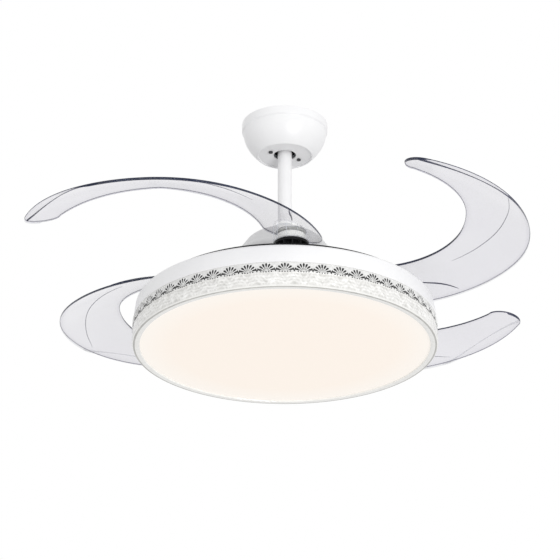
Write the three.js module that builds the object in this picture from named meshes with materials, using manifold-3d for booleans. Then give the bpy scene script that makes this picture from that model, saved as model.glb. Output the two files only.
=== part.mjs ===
// Retractable blade ceiling fan with a round lamp.
// Millimetres, +Z up. The origin is on the ceiling, over the middle of the canopy.
// The four clear blades stand in their open position, and fold in over the lamp drum.
import * as THREE from 'three';
import { mergeVertices } from 'three/addons/utils/BufferGeometryUtils.js';
import Module from 'manifold-3d';

const wasm = await Module();
wasm.setup();

// ---- Clearances and finishes -------------------------------------------------------------

const seatGap = 0.3;          // between faces that rest on each other
const turnGap = 0.3;          // between a pin and the hole that it turns in
const runGap = 2;             // between the spinning motor and what stands still
const cutPast = 1;            // how far a hole's cutter runs out past the face

// ---- Ceiling side ------------------------------------------------------------------------

const canopyRimRadius = 73;
const canopyRimHeight = 13.5;
const canopyStep = 2.5;
const canopyBottomRadius = 47;
const canopyLip = 2.1;         // width of the foot round the recess
const canopyHoleRadius = 19;
const canopyHeight = 59.5;
const canopyWall = 1.4;
const canopyRecess = 2;
const canopyCurve = 1.9;      // how late the bowl turns in
const canopyScrewCircle = 27.5;
const canopyScrewAngle = 30;
const canopyScrewRadius = 2;
const canopyScrewHeadRadius = 3.6;
const canopyScrewHead = 2;

const bracketLength = 126;
const bracketWidth = 38;
const bracketThickness = 3;
const bracketTabWidth = 44;
const bracketTabReach = 53;
const slotSpacing = 96;
const slotRadius = 3;
const slotLength = 14;
const armWidth = 30;
const armThickness = 2.5;

const ballRadius = 24;
const ballDrop = 32;          // ceiling to the ball's centre
const ballTopFlat = 18;
const linerThickness = 2.2;
const linerTop = 3;           // below the ball's centre
const linerBottom = 17;
const seatOuterRadius = 34;
const seatHeight = 14;
const seatBottom = 19;        // below the ball's centre
const loadingSlot = 27;

const receiverSize = { x: 56, y: 24, z: 20 };
const terminalSize = { x: 34, y: 20, z: 14 };

// ---- Suspension --------------------------------------------------------------------------

const rodRadius = 12;
const rodWall = 1.8;
const rodTop = 10;            // below the ceiling
const crossPinRadius = 3;
const crossPinLength = 40;
const crossPinRise = 6;       // above the ball's centre
const motorTopDrop = 208.5;   // ceiling to the top of the motor
const collarRadius = 17;
const collarHeight = 13;
const collarFloor = 2.7;
const yokeBoltRadius = 2.8;
const yokeBoltHeadRadius = 5;
const yokeBoltHead = 3;
const shaftRadius = 9;
const shaftBoreRadius = 6;

// ---- Motor -------------------------------------------------------------------------------

const motorRadius = 90;
const coverWall = 3;
const motorDrop = 330.2;      // ceiling to the underside of the motor
const coverJointDrop = 286;
const domeShares = [          // radius and drop of the dome's outline, as shares of its size
  [0.378, 0.014],
  [0.567, 0.077],
  [0.69, 0.17],
  [0.789, 0.323],
  [0.9, 0.5],
  [0.97, 0.6],
  [1, 0.72],
  [1, 1],
];
const bearingRadius = 20;
const bearingHeight = 10;
const bearingBossWall = 4;
const coverHoleRadius = 13;
const magnetThickness = 7;
const magnetHeight = 34;
const airGap = 2;
const coreHeight = 26;
const coreTeeth = 12;
const coreYokeRadius = 38;
const coreShoe = 7;
const coreToothWidth = 14;
const windingInner = 42;
const windingOuter = 68;
const windingHeight = 11;

// ---- Blade carrier and synchronising gear -------------------------------------------------

const bladeCount = 4;
const hingeCircle = 195;      // radius from the fan's axis to each blade hinge
const firstHingeAngle = 3;    // of the first hinge, from +X
const foldAngle = 70.6;       // from open to folded
const carrierRadius = 226;
const carrierHoleRadius = 40;
const carrierThickness = 5;
const guideHeight = 6.5;
const guideWall = 5.2;
const guideGap = 0.8;         // between the gear ring and the guide that it slides round
const pinionTeeth = 12;
const ringTeeth = 84;
const gearModule = (2 * hingeCircle) / (pinionTeeth + ringTeeth);
const addendum = 0.8;         // of the module
const dedendum = 1;
const pressureAngle = 22;
const backlash = 0.35;
const gearRingHeight = 8;
const gearRingBand = 8;       // from the tooth roots to the ring's inner edge
const sectorTeeth = 7;        // ring teeth beside each hinge
const sectorLead = 2;         // of them ahead of the hinge

const postRadius = 6;
const postHeadRadius = 9;
const postHead = 1.8;
const bushWall = 1.8;
const bossRadius = 28;
const hubDrumRadius = 23;     // above the flange, inside the boss
const hubFlangeHeight = 4.7;  // the hub's full-width flange, on the pinion and under the boss
const hubHeight = 27;
const pinionHeight = 9;
const hubSleeveWall = 2;
const springWire = 1.1;       // radius of the wire
const springRadius = 13.2;
const springTurns = 3;
const springPitch = 4;
const springPocketWall = 3.2;
const springFloor = 3;
const retainerInner = 10.4;
const retainerOuter = 23.6;
const retainerThickness = 2.4;
const retainerScrewCircle = 20;
const retainerScrewRadius = 1.5;
const retainerScrewLength = 14;

// ---- Blades ------------------------------------------------------------------------------

const bladeWidth = 96;
const bladeThickness = 2.5;
const bladeSweep = 152.5;     // degrees round the drum from hinge to tip, when folded
const tipRound = 6;           // degrees over which the tip rounds off
const tipWidth = 56;
const narrowFrom = 62;        // degrees from the hinge where the blade starts to narrow
const narrowCurve = 2.35;
const bladeBulge = 5.5;       // of the outer edge, at its fullest
const bulgeAt = 64;           // degrees from the hinge
const bulgeReach = 24;        // degrees either way
const bladeBaseHeight = 22;   // outer edge above the carrier at the hinge
const bladeRise = 32;         // of the outer edge from hinge to tip
const riseCurve = 1.55;
const crownRoot = 29.3;       // rise from the outer edge to the inner edge at the hinge
const crownMiddle = 33;
const crownTip = 13.5;
const crownMiddleAt = 80;     // degrees from the hinge
const bossFloor = 5.5;

// ---- Lamp --------------------------------------------------------------------------------

const panRunGap = 5;          // carrier to lamp pan
const panTopRadius = 245;
const panFlare = 4;           // wider at the bottom than at the top
const panHeight = 32.5;
const panWall = 1.5;
const panShoulder = 6;
const skirtHeight = 11.5;
const skirtInset = 8.5;       // in from the pan's bottom edge
const shadeProud = 1;         // out from the pan's bottom edge
const shadeHeight = 41.1;
const shadeRunGap = 0.7;
const shadeTopEdge = 1.4;     // the ring draws in by this at its top
const shadeShoulder = 3.5;    // below the top, where the ring is nearly full
const shadeShoulderInset = 0.6;
const shellBand = 11;         // height of the moulded band at the ring's top
const shadeFoot = 5;          // above the bottom, where the ring starts to round in
const shadeFootInset = 0.8;
const shadeFootEdge = 2.2;
const shadeBottomInset = 3;
const lipWidth = 12.8;
const lipThickness = 2.7;
const diffuserThickness = 2.5;
const lugCount = 3;
const lugAngle = 5;
const lugDepth = 2.6;
const lugHeight = 2.4;
const unlockAngle = 12;
const flangeRadius = 34;
const flangeThickness = 3;
const spacerWall = 4.7;
const nutRadius = 16;
const nutHeight = 9.4;
const shaftTail = 5;
const trayInset = 45;         // in from the pan's top edge
const trayFlange = 12;
const trayDepth = 31;
const trayThickness = 1.2;
const trayHole = 22;
const ledInset = 4;           // in from the tray's edge
const ledInnerRadius = 60;
const ledThickness = 1.5;
const driverSize = { x: 120, y: 50, z: 24 };
const driverOffset = 110;
const boltCount = 4;
const boltCircle = 60;
const boltRadius = 3;
const boltHeadRadius = 6;
const boltHead = 2.5;
const boltGrip = 12;

// ---- Smoothness ----------------------------------------------------------------------------

const wideSegments = 48;
const middleSegments = 24;
const smallSegments = 12;
const screwSegments = 6;
const arcSteps = 3;
const bladeStations = 13;
const bladeStrips = 4;
const capStations = 3;

// ---- Heights and radii worked out from the sizes above ---------------------------------------

const ballZ = -ballDrop;
const motorTopZ = -motorTopDrop;
const motorBottomZ = -motorDrop;
const collarBottomZ = motorTopZ + runGap;
const collarTopZ = collarBottomZ + collarHeight;
const rodBottomZ = collarBottomZ + collarFloor + seatGap;
const yokeBoltZ = collarTopZ - (collarHeight - collarFloor) / 2 + 1;
const coverJointZ = -coverJointDrop;
const carrierTopZ = motorBottomZ - seatGap;
const carrierBottomZ = carrierTopZ - carrierThickness;
const panTopZ = carrierBottomZ - panRunGap;
const panBottomZ = panTopZ - panHeight;
const shadeTopZ = panBottomZ - seatGap;
const shadeBottomZ = shadeTopZ - shadeHeight;
const panFloorZ = panTopZ - panWall;
const panBottomRadius = panTopRadius + panFlare;
const skirtRadius = panBottomRadius - skirtInset;
const shadeRadius = panBottomRadius + shadeProud;
const lipInnerRadius = shadeRadius - lipWidth;
const trayRadius = panTopRadius - trayInset;
const ledOuterRadius = trayRadius - ledInset;
const trayTopZ = panFloorZ - seatGap;
const trayBottomZ = trayTopZ - trayDepth;
const hubBottomZ = carrierTopZ + seatGap;
const hubTopZ = hubBottomZ + hubHeight;
const hubFlangeZ = hubBottomZ + pinionHeight + hubFlangeHeight;
const bossBottomZ = hubTopZ + seatGap;
const bossFloorZ = bossBottomZ + bossFloor;
const bladeBaseZ = carrierTopZ + bladeBaseHeight;
const gearRingRadius = (ringTeeth * gearModule) / 2;
const pinionRadius = (pinionTeeth * gearModule) / 2;
const gearRootRadius = gearRingRadius - dedendum * gearModule;
const gearInnerRadius = gearRootRadius - gearRingBand;
const bushInner = postRadius + turnGap;
const hubBore = bushInner + bushWall + seatGap;
const upperBearingZ = motorTopZ - coverWall - seatGap;
const lowerBearingZ = motorBottomZ + coverWall + seatGap;
const magnetOuter = motorRadius - coverWall - seatGap;
const magnetInner = magnetOuter - magnetThickness;
const coreRadius = magnetInner - airGap;
const coreZ = coverJointZ - coreHeight / 2;

// ---- Solids ----------------------------------------------------------------------------------

const degrees = THREE.MathUtils.degToRad;

// Shares the vertices of a closed geometry, drops collapsed triangles and faces it outwards.
function weld(geometry) {
  geometry.deleteAttribute('normal');
  geometry.deleteAttribute('uv');
  const merged = mergeVertices(geometry, 1e-4);
  const place = merged.getAttribute('position');
  const kept = [];
  const a = new THREE.Vector3();
  const b = new THREE.Vector3();
  const c = new THREE.Vector3();
  let volume = 0;
  for (let i = 0; i < merged.index.count; i += 3) {
    const corners = [merged.index.getX(i), merged.index.getX(i + 1), merged.index.getX(i + 2)];
    if (new Set(corners).size < 3) continue;
    a.fromBufferAttribute(place, corners[0]);
    b.fromBufferAttribute(place, corners[1]);
    c.fromBufferAttribute(place, corners[2]);
    volume += a.dot(b.clone().cross(c));
    kept.push(corners);
  }
  const order = volume < 0 ? [0, 2, 1] : [0, 1, 2];
  return {
    vertices: Float32Array.from(place.array),
    triangles: Uint32Array.from(kept.flatMap((t) => order.map((k) => t[k]))),
  };
}

function solid(geometry) {
  const { vertices, triangles } = weld(geometry);
  return new wasm.Manifold(new wasm.Mesh({
    numProp: 3, vertProperties: vertices, triVerts: triangles,
  }));
}

function geometryOf(manifold) {
  const mesh = manifold.getMesh();
  const geometry = new THREE.BufferGeometry();
  geometry.setAttribute('position', new THREE.BufferAttribute(mesh.vertProperties, 3));
  geometry.setIndex(new THREE.BufferAttribute(mesh.triVerts, 1));
  geometry.computeVertexNormals();
  return geometry;
}

// A turned piece about Z. The profile is a closed loop of [radius, height] points.
function turned(profile, segments) {
  const points = profile.map(([r, z]) => new THREE.Vector2(r, z));
  points.push(points[0].clone());
  const geometry = new THREE.LatheGeometry(points, segments);
  geometry.rotateX(Math.PI / 2);
  return solid(geometry);
}

function tube(outer, inner, low, high, segments = middleSegments) {
  return turned([[inner, low], [outer, low], [outer, high], [inner, high]], segments);
}

function rod(radius, low, high, x = 0, y = 0, segments = smallSegments) {
  const geometry = new THREE.CylinderGeometry(radius, radius, high - low, segments);
  geometry.rotateX(Math.PI / 2);
  geometry.translate(x, y, (low + high) / 2);
  return solid(geometry);
}

// A round bar along X.
function crossBar(radius, left, right, z, segments = smallSegments) {
  const geometry = new THREE.CylinderGeometry(radius, radius, right - left, segments);
  geometry.rotateZ(Math.PI / 2);
  geometry.translate((left + right) / 2, 0, z);
  return solid(geometry);
}

function block(x, y, z, sizeX, sizeY, sizeZ) {
  const geometry = new THREE.BoxGeometry(sizeX, sizeY, sizeZ);
  geometry.translate(x, y, z);
  return solid(geometry);
}

function extruded(shape, low, high) {
  const geometry = new THREE.ExtrudeGeometry(shape, {
    depth: high - low, bevelEnabled: false, curveSegments: arcSteps,
  });
  geometry.translate(0, 0, low);
  return solid(geometry);
}

// A sector of a ring between two angles in degrees.
function sector(outer, inner, low, high, from, to) {
  const shape = new THREE.Shape();
  shape.absarc(0, 0, outer, degrees(from), degrees(to), false);
  shape.absarc(0, 0, inner, degrees(to), degrees(from), true);
  shape.closePath();
  return extruded(shape, low, high);
}

// ---- Ceiling side ------------------------------------------------------------------------------

function canopyRadiusAt(depth) {
  const bowlTop = canopyRimHeight + canopyStep;
  const share = (depth - bowlTop) / (canopyHeight - bowlTop);
  const top = canopyRimRadius - canopyStep;
  return top - (top - canopyBottomRadius) * share ** canopyCurve;
}

function canopy() {
  const bowlSteps = 5;
  const bowlTop = canopyRimHeight + canopyStep;
  const outer = [];
  const inner = [];
  for (let i = 0; i <= bowlSteps; i += 1) {
    const depth = bowlTop + ((canopyHeight - bowlTop) * i) / bowlSteps;
    outer.push([canopyRadiusAt(depth), -seatGap - depth]);
    inner.unshift([
      canopyRadiusAt(depth) - canopyWall, -seatGap - Math.min(depth, canopyHeight - canopyWall),
    ]);
  }
  const lip = canopyBottomRadius - canopyLip;
  const bottomZ = -seatGap - canopyHeight;
  const floorZ = bottomZ + canopyRecess;
  inner[0] = [canopyRadiusAt(canopyHeight) - canopyWall, floorZ + canopyWall];
  const profile = [
    [canopyRimRadius - canopyWall, -seatGap],
    [canopyRimRadius, -seatGap],
    [canopyRimRadius, -seatGap - canopyRimHeight],
    ...outer,
    [lip, bottomZ],
    [lip, floorZ],
    [canopyHoleRadius, floorZ],
    [canopyHoleRadius, floorZ + canopyWall],
    ...inner,
    [canopyRimRadius - canopyWall, -seatGap - canopyRimHeight],
  ];
  const bowl = turned(profile, middleSegments);
  const [first, second] = canopyScrewPlaces();
  const holeRadius = canopyScrewRadius + turnGap;
  return bowl
    .subtract(rod(holeRadius, bottomZ, floorZ + 3 * canopyWall, first.x, first.y))
    .subtract(rod(holeRadius, bottomZ, floorZ + 3 * canopyWall, second.x, second.y));
}

function canopyScrewPlaces() {
  return [0, 180].map((turn) => {
    const angle = degrees(canopyScrewAngle + turn);
    return { x: canopyScrewCircle * Math.cos(angle), y: canopyScrewCircle * Math.sin(angle) };
  });
}

// A screw from below, through the canopy's floor into the bracket's seat ring.
function canopyScrew() {
  const floorZ = -seatGap - canopyHeight + canopyRecess;
  const headTop = floorZ - seatGap;
  const head = rod(canopyScrewHeadRadius, headTop - canopyScrewHead, headTop);
  const shankTop = ballZ - seatBottom + seatHeight / 2;
  const shank = rod(canopyScrewRadius, headTop - canopyScrewHead / 2, shankTop);
  return head.add(shank);
}

// Points of a circle about the ball's centre, between two depths below it.
function ballArc(radius, topDepth, bottomDepth, steps) {
  const points = [];
  for (let i = 0; i <= steps; i += 1) {
    const depth = topDepth + ((bottomDepth - topDepth) * i) / steps;
    points.push([Math.sqrt(radius * radius - depth * depth), ballZ - depth]);
  }
  return points;
}

function ceilingBracket() {
  const plate = block(0, 0, -bracketThickness / 2, bracketLength, bracketWidth, bracketThickness)
    .add(block(0, 0, -bracketThickness / 2, bracketTabWidth, 2 * bracketTabReach, bracketThickness));
  const seatBore = ballArc(ballRadius + linerThickness + 2 * turnGap, seatBottom - seatHeight, seatBottom, 3);
  const seat = turned([
    ...seatBore,
    [seatOuterRadius, ballZ - seatBottom],
    [seatOuterRadius, ballZ - seatBottom + seatHeight],
  ], middleSegments);
  const armLength = ballDrop + seatBottom;
  const armX = seatOuterRadius - armThickness / 2;
  let bracket = plate.add(seat);
  for (const side of [-1, 1]) {
    bracket = bracket.add(block(side * armX, 0, -armLength / 2, armThickness, armWidth, armLength));
  }
  for (const side of [-1, 1]) {
    const slotHalf = (slotLength - 2 * slotRadius) / 2;
    bracket = bracket.subtract(block(
      (side * slotSpacing) / 2, 0, 0, 2 * slotHalf, 2 * slotRadius, 3 * bracketThickness,
    ));
    for (const end of [-1, 1]) {
      const x = (side * slotSpacing) / 2 + end * slotHalf;
      bracket = bracket.subtract(rod(slotRadius, -2 * bracketThickness, bracketThickness, x, 0));
    }
  }
  for (const place of canopyScrewPlaces()) {
    bracket = bracket.subtract(rod(
      canopyScrewRadius + turnGap, ballZ - seatBottom - cutPast, ballZ - seatBottom + seatHeight / 2 + cutPast,
      place.x, place.y,
    ));
  }
  return bracket.subtract(block(
    0, -seatOuterRadius / 2, ballZ - seatBottom,
    loadingSlot, seatOuterRadius + cutPast, 2 * (seatHeight + cutPast),
  ));
}

function ballLiner() {
  const inside = ballArc(ballRadius + turnGap, linerTop, linerBottom, 3);
  const outside = ballArc(ballRadius + turnGap + linerThickness, linerTop, linerBottom, 3).reverse();
  return turned([...inside, ...outside], middleSegments);
}

// ---- Suspension ----------------------------------------------------------------------------------

function hangerBall() {
  const sphere = new THREE.SphereGeometry(ballRadius, middleSegments, smallSegments);
  sphere.rotateX(Math.PI / 2);
  sphere.translate(0, 0, ballZ);
  return solid(sphere)
    .subtract(rod(rodRadius + seatGap, ballZ - 2 * ballRadius, 0, 0, 0, middleSegments))
    .subtract(block(0, 0, ballZ + ballTopFlat + ballRadius, 3 * ballRadius, 3 * ballRadius, 2 * ballRadius))
    .subtract(crossBar(crossPinRadius + seatGap, -ballRadius, ballRadius, ballZ + crossPinRise));
}

function crossPin() {
  return crossBar(crossPinRadius, -crossPinLength / 2, crossPinLength / 2, ballZ + crossPinRise);
}

function downrod() {
  const pinHole = crossPinRadius + seatGap;
  const boltHole = yokeBoltRadius + seatGap;
  return tube(rodRadius, rodRadius - rodWall, rodBottomZ, -rodTop)
    .subtract(crossBar(pinHole, -2 * rodRadius, 2 * rodRadius, ballZ + crossPinRise))
    .subtract(crossBar(boltHole, -2 * rodRadius, 2 * rodRadius, yokeBoltZ));
}

function motorShaft() {
  const shaftBottomZ = panFloorZ - seatGap - nutHeight - shaftTail;
  const floorZ = collarBottomZ + collarFloor;
  return turned([
    [shaftBoreRadius, shaftBottomZ],
    [shaftRadius, shaftBottomZ],
    [shaftRadius, collarBottomZ],
    [collarRadius, collarBottomZ],
    [collarRadius, collarTopZ],
    [rodRadius + seatGap, collarTopZ],
    [rodRadius + seatGap, floorZ],
    [shaftBoreRadius, floorZ],
  ], middleSegments)
    .subtract(crossBar(yokeBoltRadius + seatGap, -2 * collarRadius, 2 * collarRadius, yokeBoltZ));
}

function yokeBolt() {
  const faceX = collarRadius + seatGap;
  return crossBar(yokeBoltRadius, -faceX - yokeBoltHead / 2, faceX + 2 * yokeBoltHead, yokeBoltZ)
    .add(crossBar(yokeBoltHeadRadius, -faceX - yokeBoltHead, -faceX, yokeBoltZ, 6));
}

function yokeNut() {
  const faceX = collarRadius + seatGap;
  return crossBar(yokeBoltHeadRadius, faceX, faceX + yokeBoltHead + 1, yokeBoltZ, 6)
    .subtract(crossBar(yokeBoltRadius + seatGap, faceX - cutPast, faceX + 3 * yokeBoltHead, yokeBoltZ));
}

// ---- Motor -----------------------------------------------------------------------------------------

// Outer profile of the domed upper cover, from its top to the joint.
function domeProfile(inset) {
  const span = motorTopZ - coverJointZ;
  return domeShares.map(([r, z]) => {
    const height = motorTopZ - span * z;
    const drop = z < 1 ? inset * (1 - z) : 0;
    return [r * motorRadius - inset * Math.min(1, 0.2 + z), height - drop];
  });
}

function topCover() {
  const bossOuter = bearingRadius + seatGap + bearingBossWall;
  const ceilingZ = motorTopZ - coverWall;
  const bossBottomZ = upperBearingZ - bearingHeight - 1;
  const profile = [
    [coverHoleRadius, motorTopZ],
    ...domeProfile(0),
    ...domeProfile(coverWall).reverse(),
    [bossOuter, ceilingZ],
    [bossOuter, bossBottomZ],
    [bearingRadius + seatGap, bossBottomZ],
    [bearingRadius + seatGap, ceilingZ],
    [coverHoleRadius, ceilingZ],
  ];
  return turned(profile, middleSegments);
}

function bottomCover() {
  const topZ = coverJointZ - seatGap;
  const floorZ = motorBottomZ + coverWall;
  const holeRadius = shaftRadius + seatGap + spacerWall + runGap;
  const bossInner = bearingRadius + seatGap;
  const bossTopZ = lowerBearingZ + bearingHeight + 1;
  let cover = turned([
    [motorRadius, topZ],
    [motorRadius, motorBottomZ + 2],
    [motorRadius - 2, motorBottomZ],
    [holeRadius, motorBottomZ],
    [holeRadius, floorZ],
    [bossInner, floorZ],
    [bossInner, bossTopZ],
    [bossInner + bearingBossWall, bossTopZ],
    [bossInner + bearingBossWall, floorZ],
    [motorRadius - coverWall, floorZ],
    [motorRadius - coverWall, topZ],
  ], middleSegments);
  for (const place of boltPlaces()) {
    cover = cover.subtract(rod(
      boltRadius + seatGap, motorBottomZ - cutPast, floorZ + cutPast, place.x, place.y, screwSegments,
    ));
  }
  return cover;
}

function statorCore() {
  const shape = new THREE.Shape();
  const bore = shaftRadius + seatGap;
  const pitch = 360 / coreTeeth;
  const shoeHalf = pitch * 0.42;
  const points = [];
  for (let i = 0; i < coreTeeth; i += 1) {
    const middle = i * pitch;
    const corner = (r, angle) => points.push(new THREE.Vector2(
      r * Math.cos(degrees(middle + angle)), r * Math.sin(degrees(middle + angle)),
    ));
    const tooth = (r) => THREE.MathUtils.radToDeg(Math.asin(coreToothWidth / 2 / r));
    const shoeInner = coreRadius - coreShoe;
    corner(coreYokeRadius, -tooth(coreYokeRadius));
    corner(shoeInner, -tooth(shoeInner));
    corner(shoeInner, -shoeHalf);
    corner(coreRadius, -shoeHalf);
    corner(coreRadius, 0);
    corner(coreRadius, shoeHalf);
    corner(shoeInner, shoeHalf);
    corner(shoeInner, tooth(shoeInner));
    corner(coreYokeRadius, tooth(coreYokeRadius));
  }
  shape.setFromPoints(points);
  return extruded(shape, coreZ, coreZ + coreHeight)
    .subtract(rod(bore, coreZ - cutPast, coreZ + coreHeight + cutPast, 0, 0, middleSegments));
}

// The wound coil heads above or below the core, as one ring.
function winding(low) {
  const high = low + windingHeight;
  const round = windingHeight / 4;
  return turned([
    [windingInner, low],
    [windingOuter, low],
    [windingOuter, high - round],
    [windingOuter - round, high],
    [windingInner + round, high],
    [windingInner, high - round],
  ], middleSegments);
}

function bearing(low) {
  return tube(bearingRadius, shaftRadius + seatGap, low, low + bearingHeight);
}

// ---- Blade carrier -----------------------------------------------------------------------------------

function hingePlace(index) {
  const angle = degrees(firstHingeAngle - (index * 360) / bladeCount);
  return { x: hingeCircle * Math.cos(angle), y: hingeCircle * Math.sin(angle) };
}

function boltPlaces() {
  return Array.from({ length: boltCount }, (_, i) => {
    const angle = degrees(((i + 0.5) * 360) / boltCount);
    return { x: boltCircle * Math.cos(angle), y: boltCircle * Math.sin(angle) };
  });
}

function carrierPlate() {
  const guideRadius = gearInnerRadius - guideGap;
  let plate = turned([
    [carrierHoleRadius, carrierBottomZ],
    [carrierRadius, carrierBottomZ],
    [carrierRadius, carrierTopZ],
    [guideRadius, carrierTopZ],
    [guideRadius, carrierTopZ + guideHeight],
    [guideRadius - guideWall, carrierTopZ + guideHeight],
    [guideRadius - guideWall, carrierTopZ],
    [carrierHoleRadius, carrierTopZ],
  ], wideSegments);
  for (const place of boltPlaces()) {
    plate = plate.subtract(rod(
      boltRadius + seatGap, carrierBottomZ - cutPast, carrierTopZ + cutPast, place.x, place.y, screwSegments,
    ));
  }
  for (let i = 0; i < bladeCount; i += 1) {
    const place = hingePlace(i);
    plate = plate.subtract(rod(
      postRadius + seatGap, carrierBottomZ - cutPast, carrierTopZ + cutPast, place.x, place.y,
    ));
  }
  return plate;
}

function plateBolt() {
  const headTop = carrierBottomZ - seatGap;
  return rod(boltHeadRadius, headTop - boltHead, headTop, 0, 0, 6)
    .add(rod(boltRadius, headTop - boltHead / 2, headTop + boltGrip, 0, 0, screwSegments));
}

function hingePost() {
  const headBottomZ = hubTopZ + seatGap;
  return rod(postRadius, carrierBottomZ, headBottomZ + postHead / 2)
    .add(rod(postHeadRadius, headBottomZ, headBottomZ + postHead));
}

// Half of a gear tooth's angle at a radius, in radians, for an involute flank.
function toothHalfAngle(radius, pitchRadius, teeth) {
  const involute = (angle) => Math.tan(angle) - angle;
  const base = pitchRadius * Math.cos(degrees(pressureAngle));
  const slope = Math.acos(Math.min(1, base / Math.max(radius, base)));
  const atPitch = Math.PI / (2 * teeth) - backlash / (2 * pitchRadius);
  return atPitch + involute(degrees(pressureAngle)) - involute(slope);
}

// Points of one tooth about a middle angle, in order of rising angle.
function toothPoints(middle, pitchRadius, teeth) {
  const root = pitchRadius - dedendum * gearModule;
  const tip = pitchRadius + addendum * gearModule;
  const radii = [root, pitchRadius, tip];
  const rising = radii.map((r) => [r, middle - toothHalfAngle(r, pitchRadius, teeth)]);
  const falling = radii.map((r) => [r, middle + toothHalfAngle(r, pitchRadius, teeth)]).reverse();
  return [...rising, ...falling].map(
    ([r, angle]) => new THREE.Vector2(r * Math.cos(angle), r * Math.sin(angle)),
  );
}

function gearRing() {
  const pitch = (2 * Math.PI) / ringTeeth;
  const stationPitch = (2 * Math.PI) / bladeCount;
  const points = [];
  const plainSteps = 9;
  for (let i = 0; i < bladeCount; i += 1) {
    const start = degrees(firstHingeAngle) + i * stationPitch;
    const behind = sectorTeeth - sectorLead;
    for (let k = -behind; k < sectorLead; k += 1) {
      points.push(...toothPoints(start + (k + 0.5) * pitch, gearRingRadius, ringTeeth));
    }
    const plainFrom = start + sectorLead * pitch;
    const plainTo = start + stationPitch - behind * pitch;
    for (let k = 0; k <= plainSteps; k += 1) {
      const angle = plainFrom + ((plainTo - plainFrom) * k) / plainSteps;
      points.push(new THREE.Vector2(gearRootRadius * Math.cos(angle), gearRootRadius * Math.sin(angle)));
    }
  }
  const shape = new THREE.Shape(points);
  const lowZ = carrierTopZ + seatGap;
  return extruded(shape, lowZ, lowZ + gearRingHeight)
    .subtract(rod(gearInnerRadius, lowZ - cutPast, lowZ + gearRingHeight + cutPast, 0, 0, wideSegments));
}

// ---- One blade, about its own hinge and as it lies when folded ----------------------------------------

// The hub: a drum with a spring pocket, inside the blade's boss, over a flange and a pinion. When the blade
// is open, one pinion tooth points at the fan's axis, into a gap of the gear ring.
function bladeHub() {
  const points = [];
  for (let i = 0; i < pinionTeeth; i += 1) {
    const middle = Math.PI - degrees(foldAngle) + (i * 2 * Math.PI) / pinionTeeth;
    points.push(...toothPoints(middle, pinionRadius, pinionTeeth));
  }
  const pinion = extruded(new THREE.Shape(points), hubBottomZ, hubBottomZ + pinionHeight);
  const drumBottomZ = hubBottomZ + (gearRingHeight + pinionHeight) / 2;
  const flange = rod(bossRadius, drumBottomZ, hubFlangeZ, 0, 0, middleSegments);
  const drum = rod(hubDrumRadius, drumBottomZ, hubTopZ, 0, 0, middleSegments);
  const pocketInner = hubBore + hubSleeveWall;
  const pocketOuter = springRadius + springWire + springPocketWall / 2;
  const pocket = tube(
    pocketOuter, pocketInner, hubBottomZ + pinionHeight + springFloor, hubTopZ + cutPast,
  );
  let hub = pinion.add(flange).add(drum)
    .subtract(rod(hubBore, hubBottomZ - cutPast, hubTopZ + cutPast))
    .subtract(pocket);
  for (const place of retainerScrewPlaces()) {
    hub = hub.subtract(rod(
      retainerScrewRadius + seatGap, hubTopZ - retainerScrewLength + bossFloor, hubTopZ + cutPast,
      place.x, place.y, screwSegments,
    ));
  }
  return hub;
}

function retainerScrewPlaces() {
  return [90, 210, 330].map((turn) => ({
    x: retainerScrewCircle * Math.cos(degrees(turn)),
    y: retainerScrewCircle * Math.sin(degrees(turn)),
  }));
}

function hingeBush() {
  return tube(bushInner + bushWall, bushInner, hubBottomZ, hubTopZ - seatGap, smallSegments);
}

// A torsion spring's coil, as one wire wound round the hub's sleeve.
function returnSpring() {
  const stepsPerTurn = 8;
  const sides = 5;
  const steps = springTurns * stepsPerTurn;
  const floorZ = hubBottomZ + pinionHeight + springFloor + springWire + seatGap;
  const positions = [];
  const index = [];
  for (let i = 0; i <= steps; i += 1) {
    const angle = (i * 2 * Math.PI) / stepsPerTurn;
    const height = floorZ + (springPitch * i) / stepsPerTurn;
    for (let k = 0; k < sides; k += 1) {
      const around = (k * 2 * Math.PI) / sides;
      const radius = springRadius + springWire * Math.cos(around);
      const z = height + springWire * Math.sin(around);
      positions.push(radius * Math.cos(angle), radius * Math.sin(angle), z);
    }
  }
  for (let i = 0; i < steps; i += 1) {
    for (let k = 0; k < sides; k += 1) {
      const a = i * sides + k;
      const b = i * sides + ((k + 1) % sides);
      index.push(a, b, a + sides, b, b + sides, a + sides);
    }
  }
  for (let k = 1; k < sides - 1; k += 1) {
    index.push(0, k + 1, k, steps * sides, steps * sides + k, steps * sides + k + 1);
  }
  const geometry = new THREE.BufferGeometry();
  geometry.setAttribute('position', new THREE.Float32BufferAttribute(positions, 3));
  geometry.setIndex(index);
  return solid(geometry);
}

// A white ring in the boss, with three screws down through the boss floor into the hub.
function retainer() {
  const lowZ = bossFloorZ + seatGap;
  let ring = tube(retainerOuter, retainerInner, lowZ, lowZ + retainerThickness);
  for (const place of retainerScrewPlaces()) {
    ring = ring.add(rod(
      retainerScrewRadius, hubTopZ - retainerScrewLength + bossFloor + 1, lowZ + retainerThickness / 2,
      place.x, place.y, screwSegments,
    ));
  }
  return ring;
}

function smoothShare(value) {
  return THREE.MathUtils.clamp(value, 0, 1);
}

// Height of the blade's top face, at an angle round the drum from the hinge and a radius from the axis.
function bladeHeight(angle, radius) {
  const outerEdge = bladeRise * smoothShare(angle / bladeSweep) ** riseCurve;
  const toMiddle = Math.sin((Math.PI / 2) * smoothShare(angle / crownMiddleAt));
  const toTip = smoothShare((angle - crownMiddleAt) / (bladeSweep - crownMiddleAt));
  const crown = crownRoot + (crownMiddle - crownRoot) * toMiddle + (crownTip - crownMiddle) * toTip;
  const share = smoothShare((hingeCircle + bladeWidth / 2 - radius) / bladeWidth);
  return bladeBaseZ + outerEdge + crown * (1 - (1 - share) ** 2);
}

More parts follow.
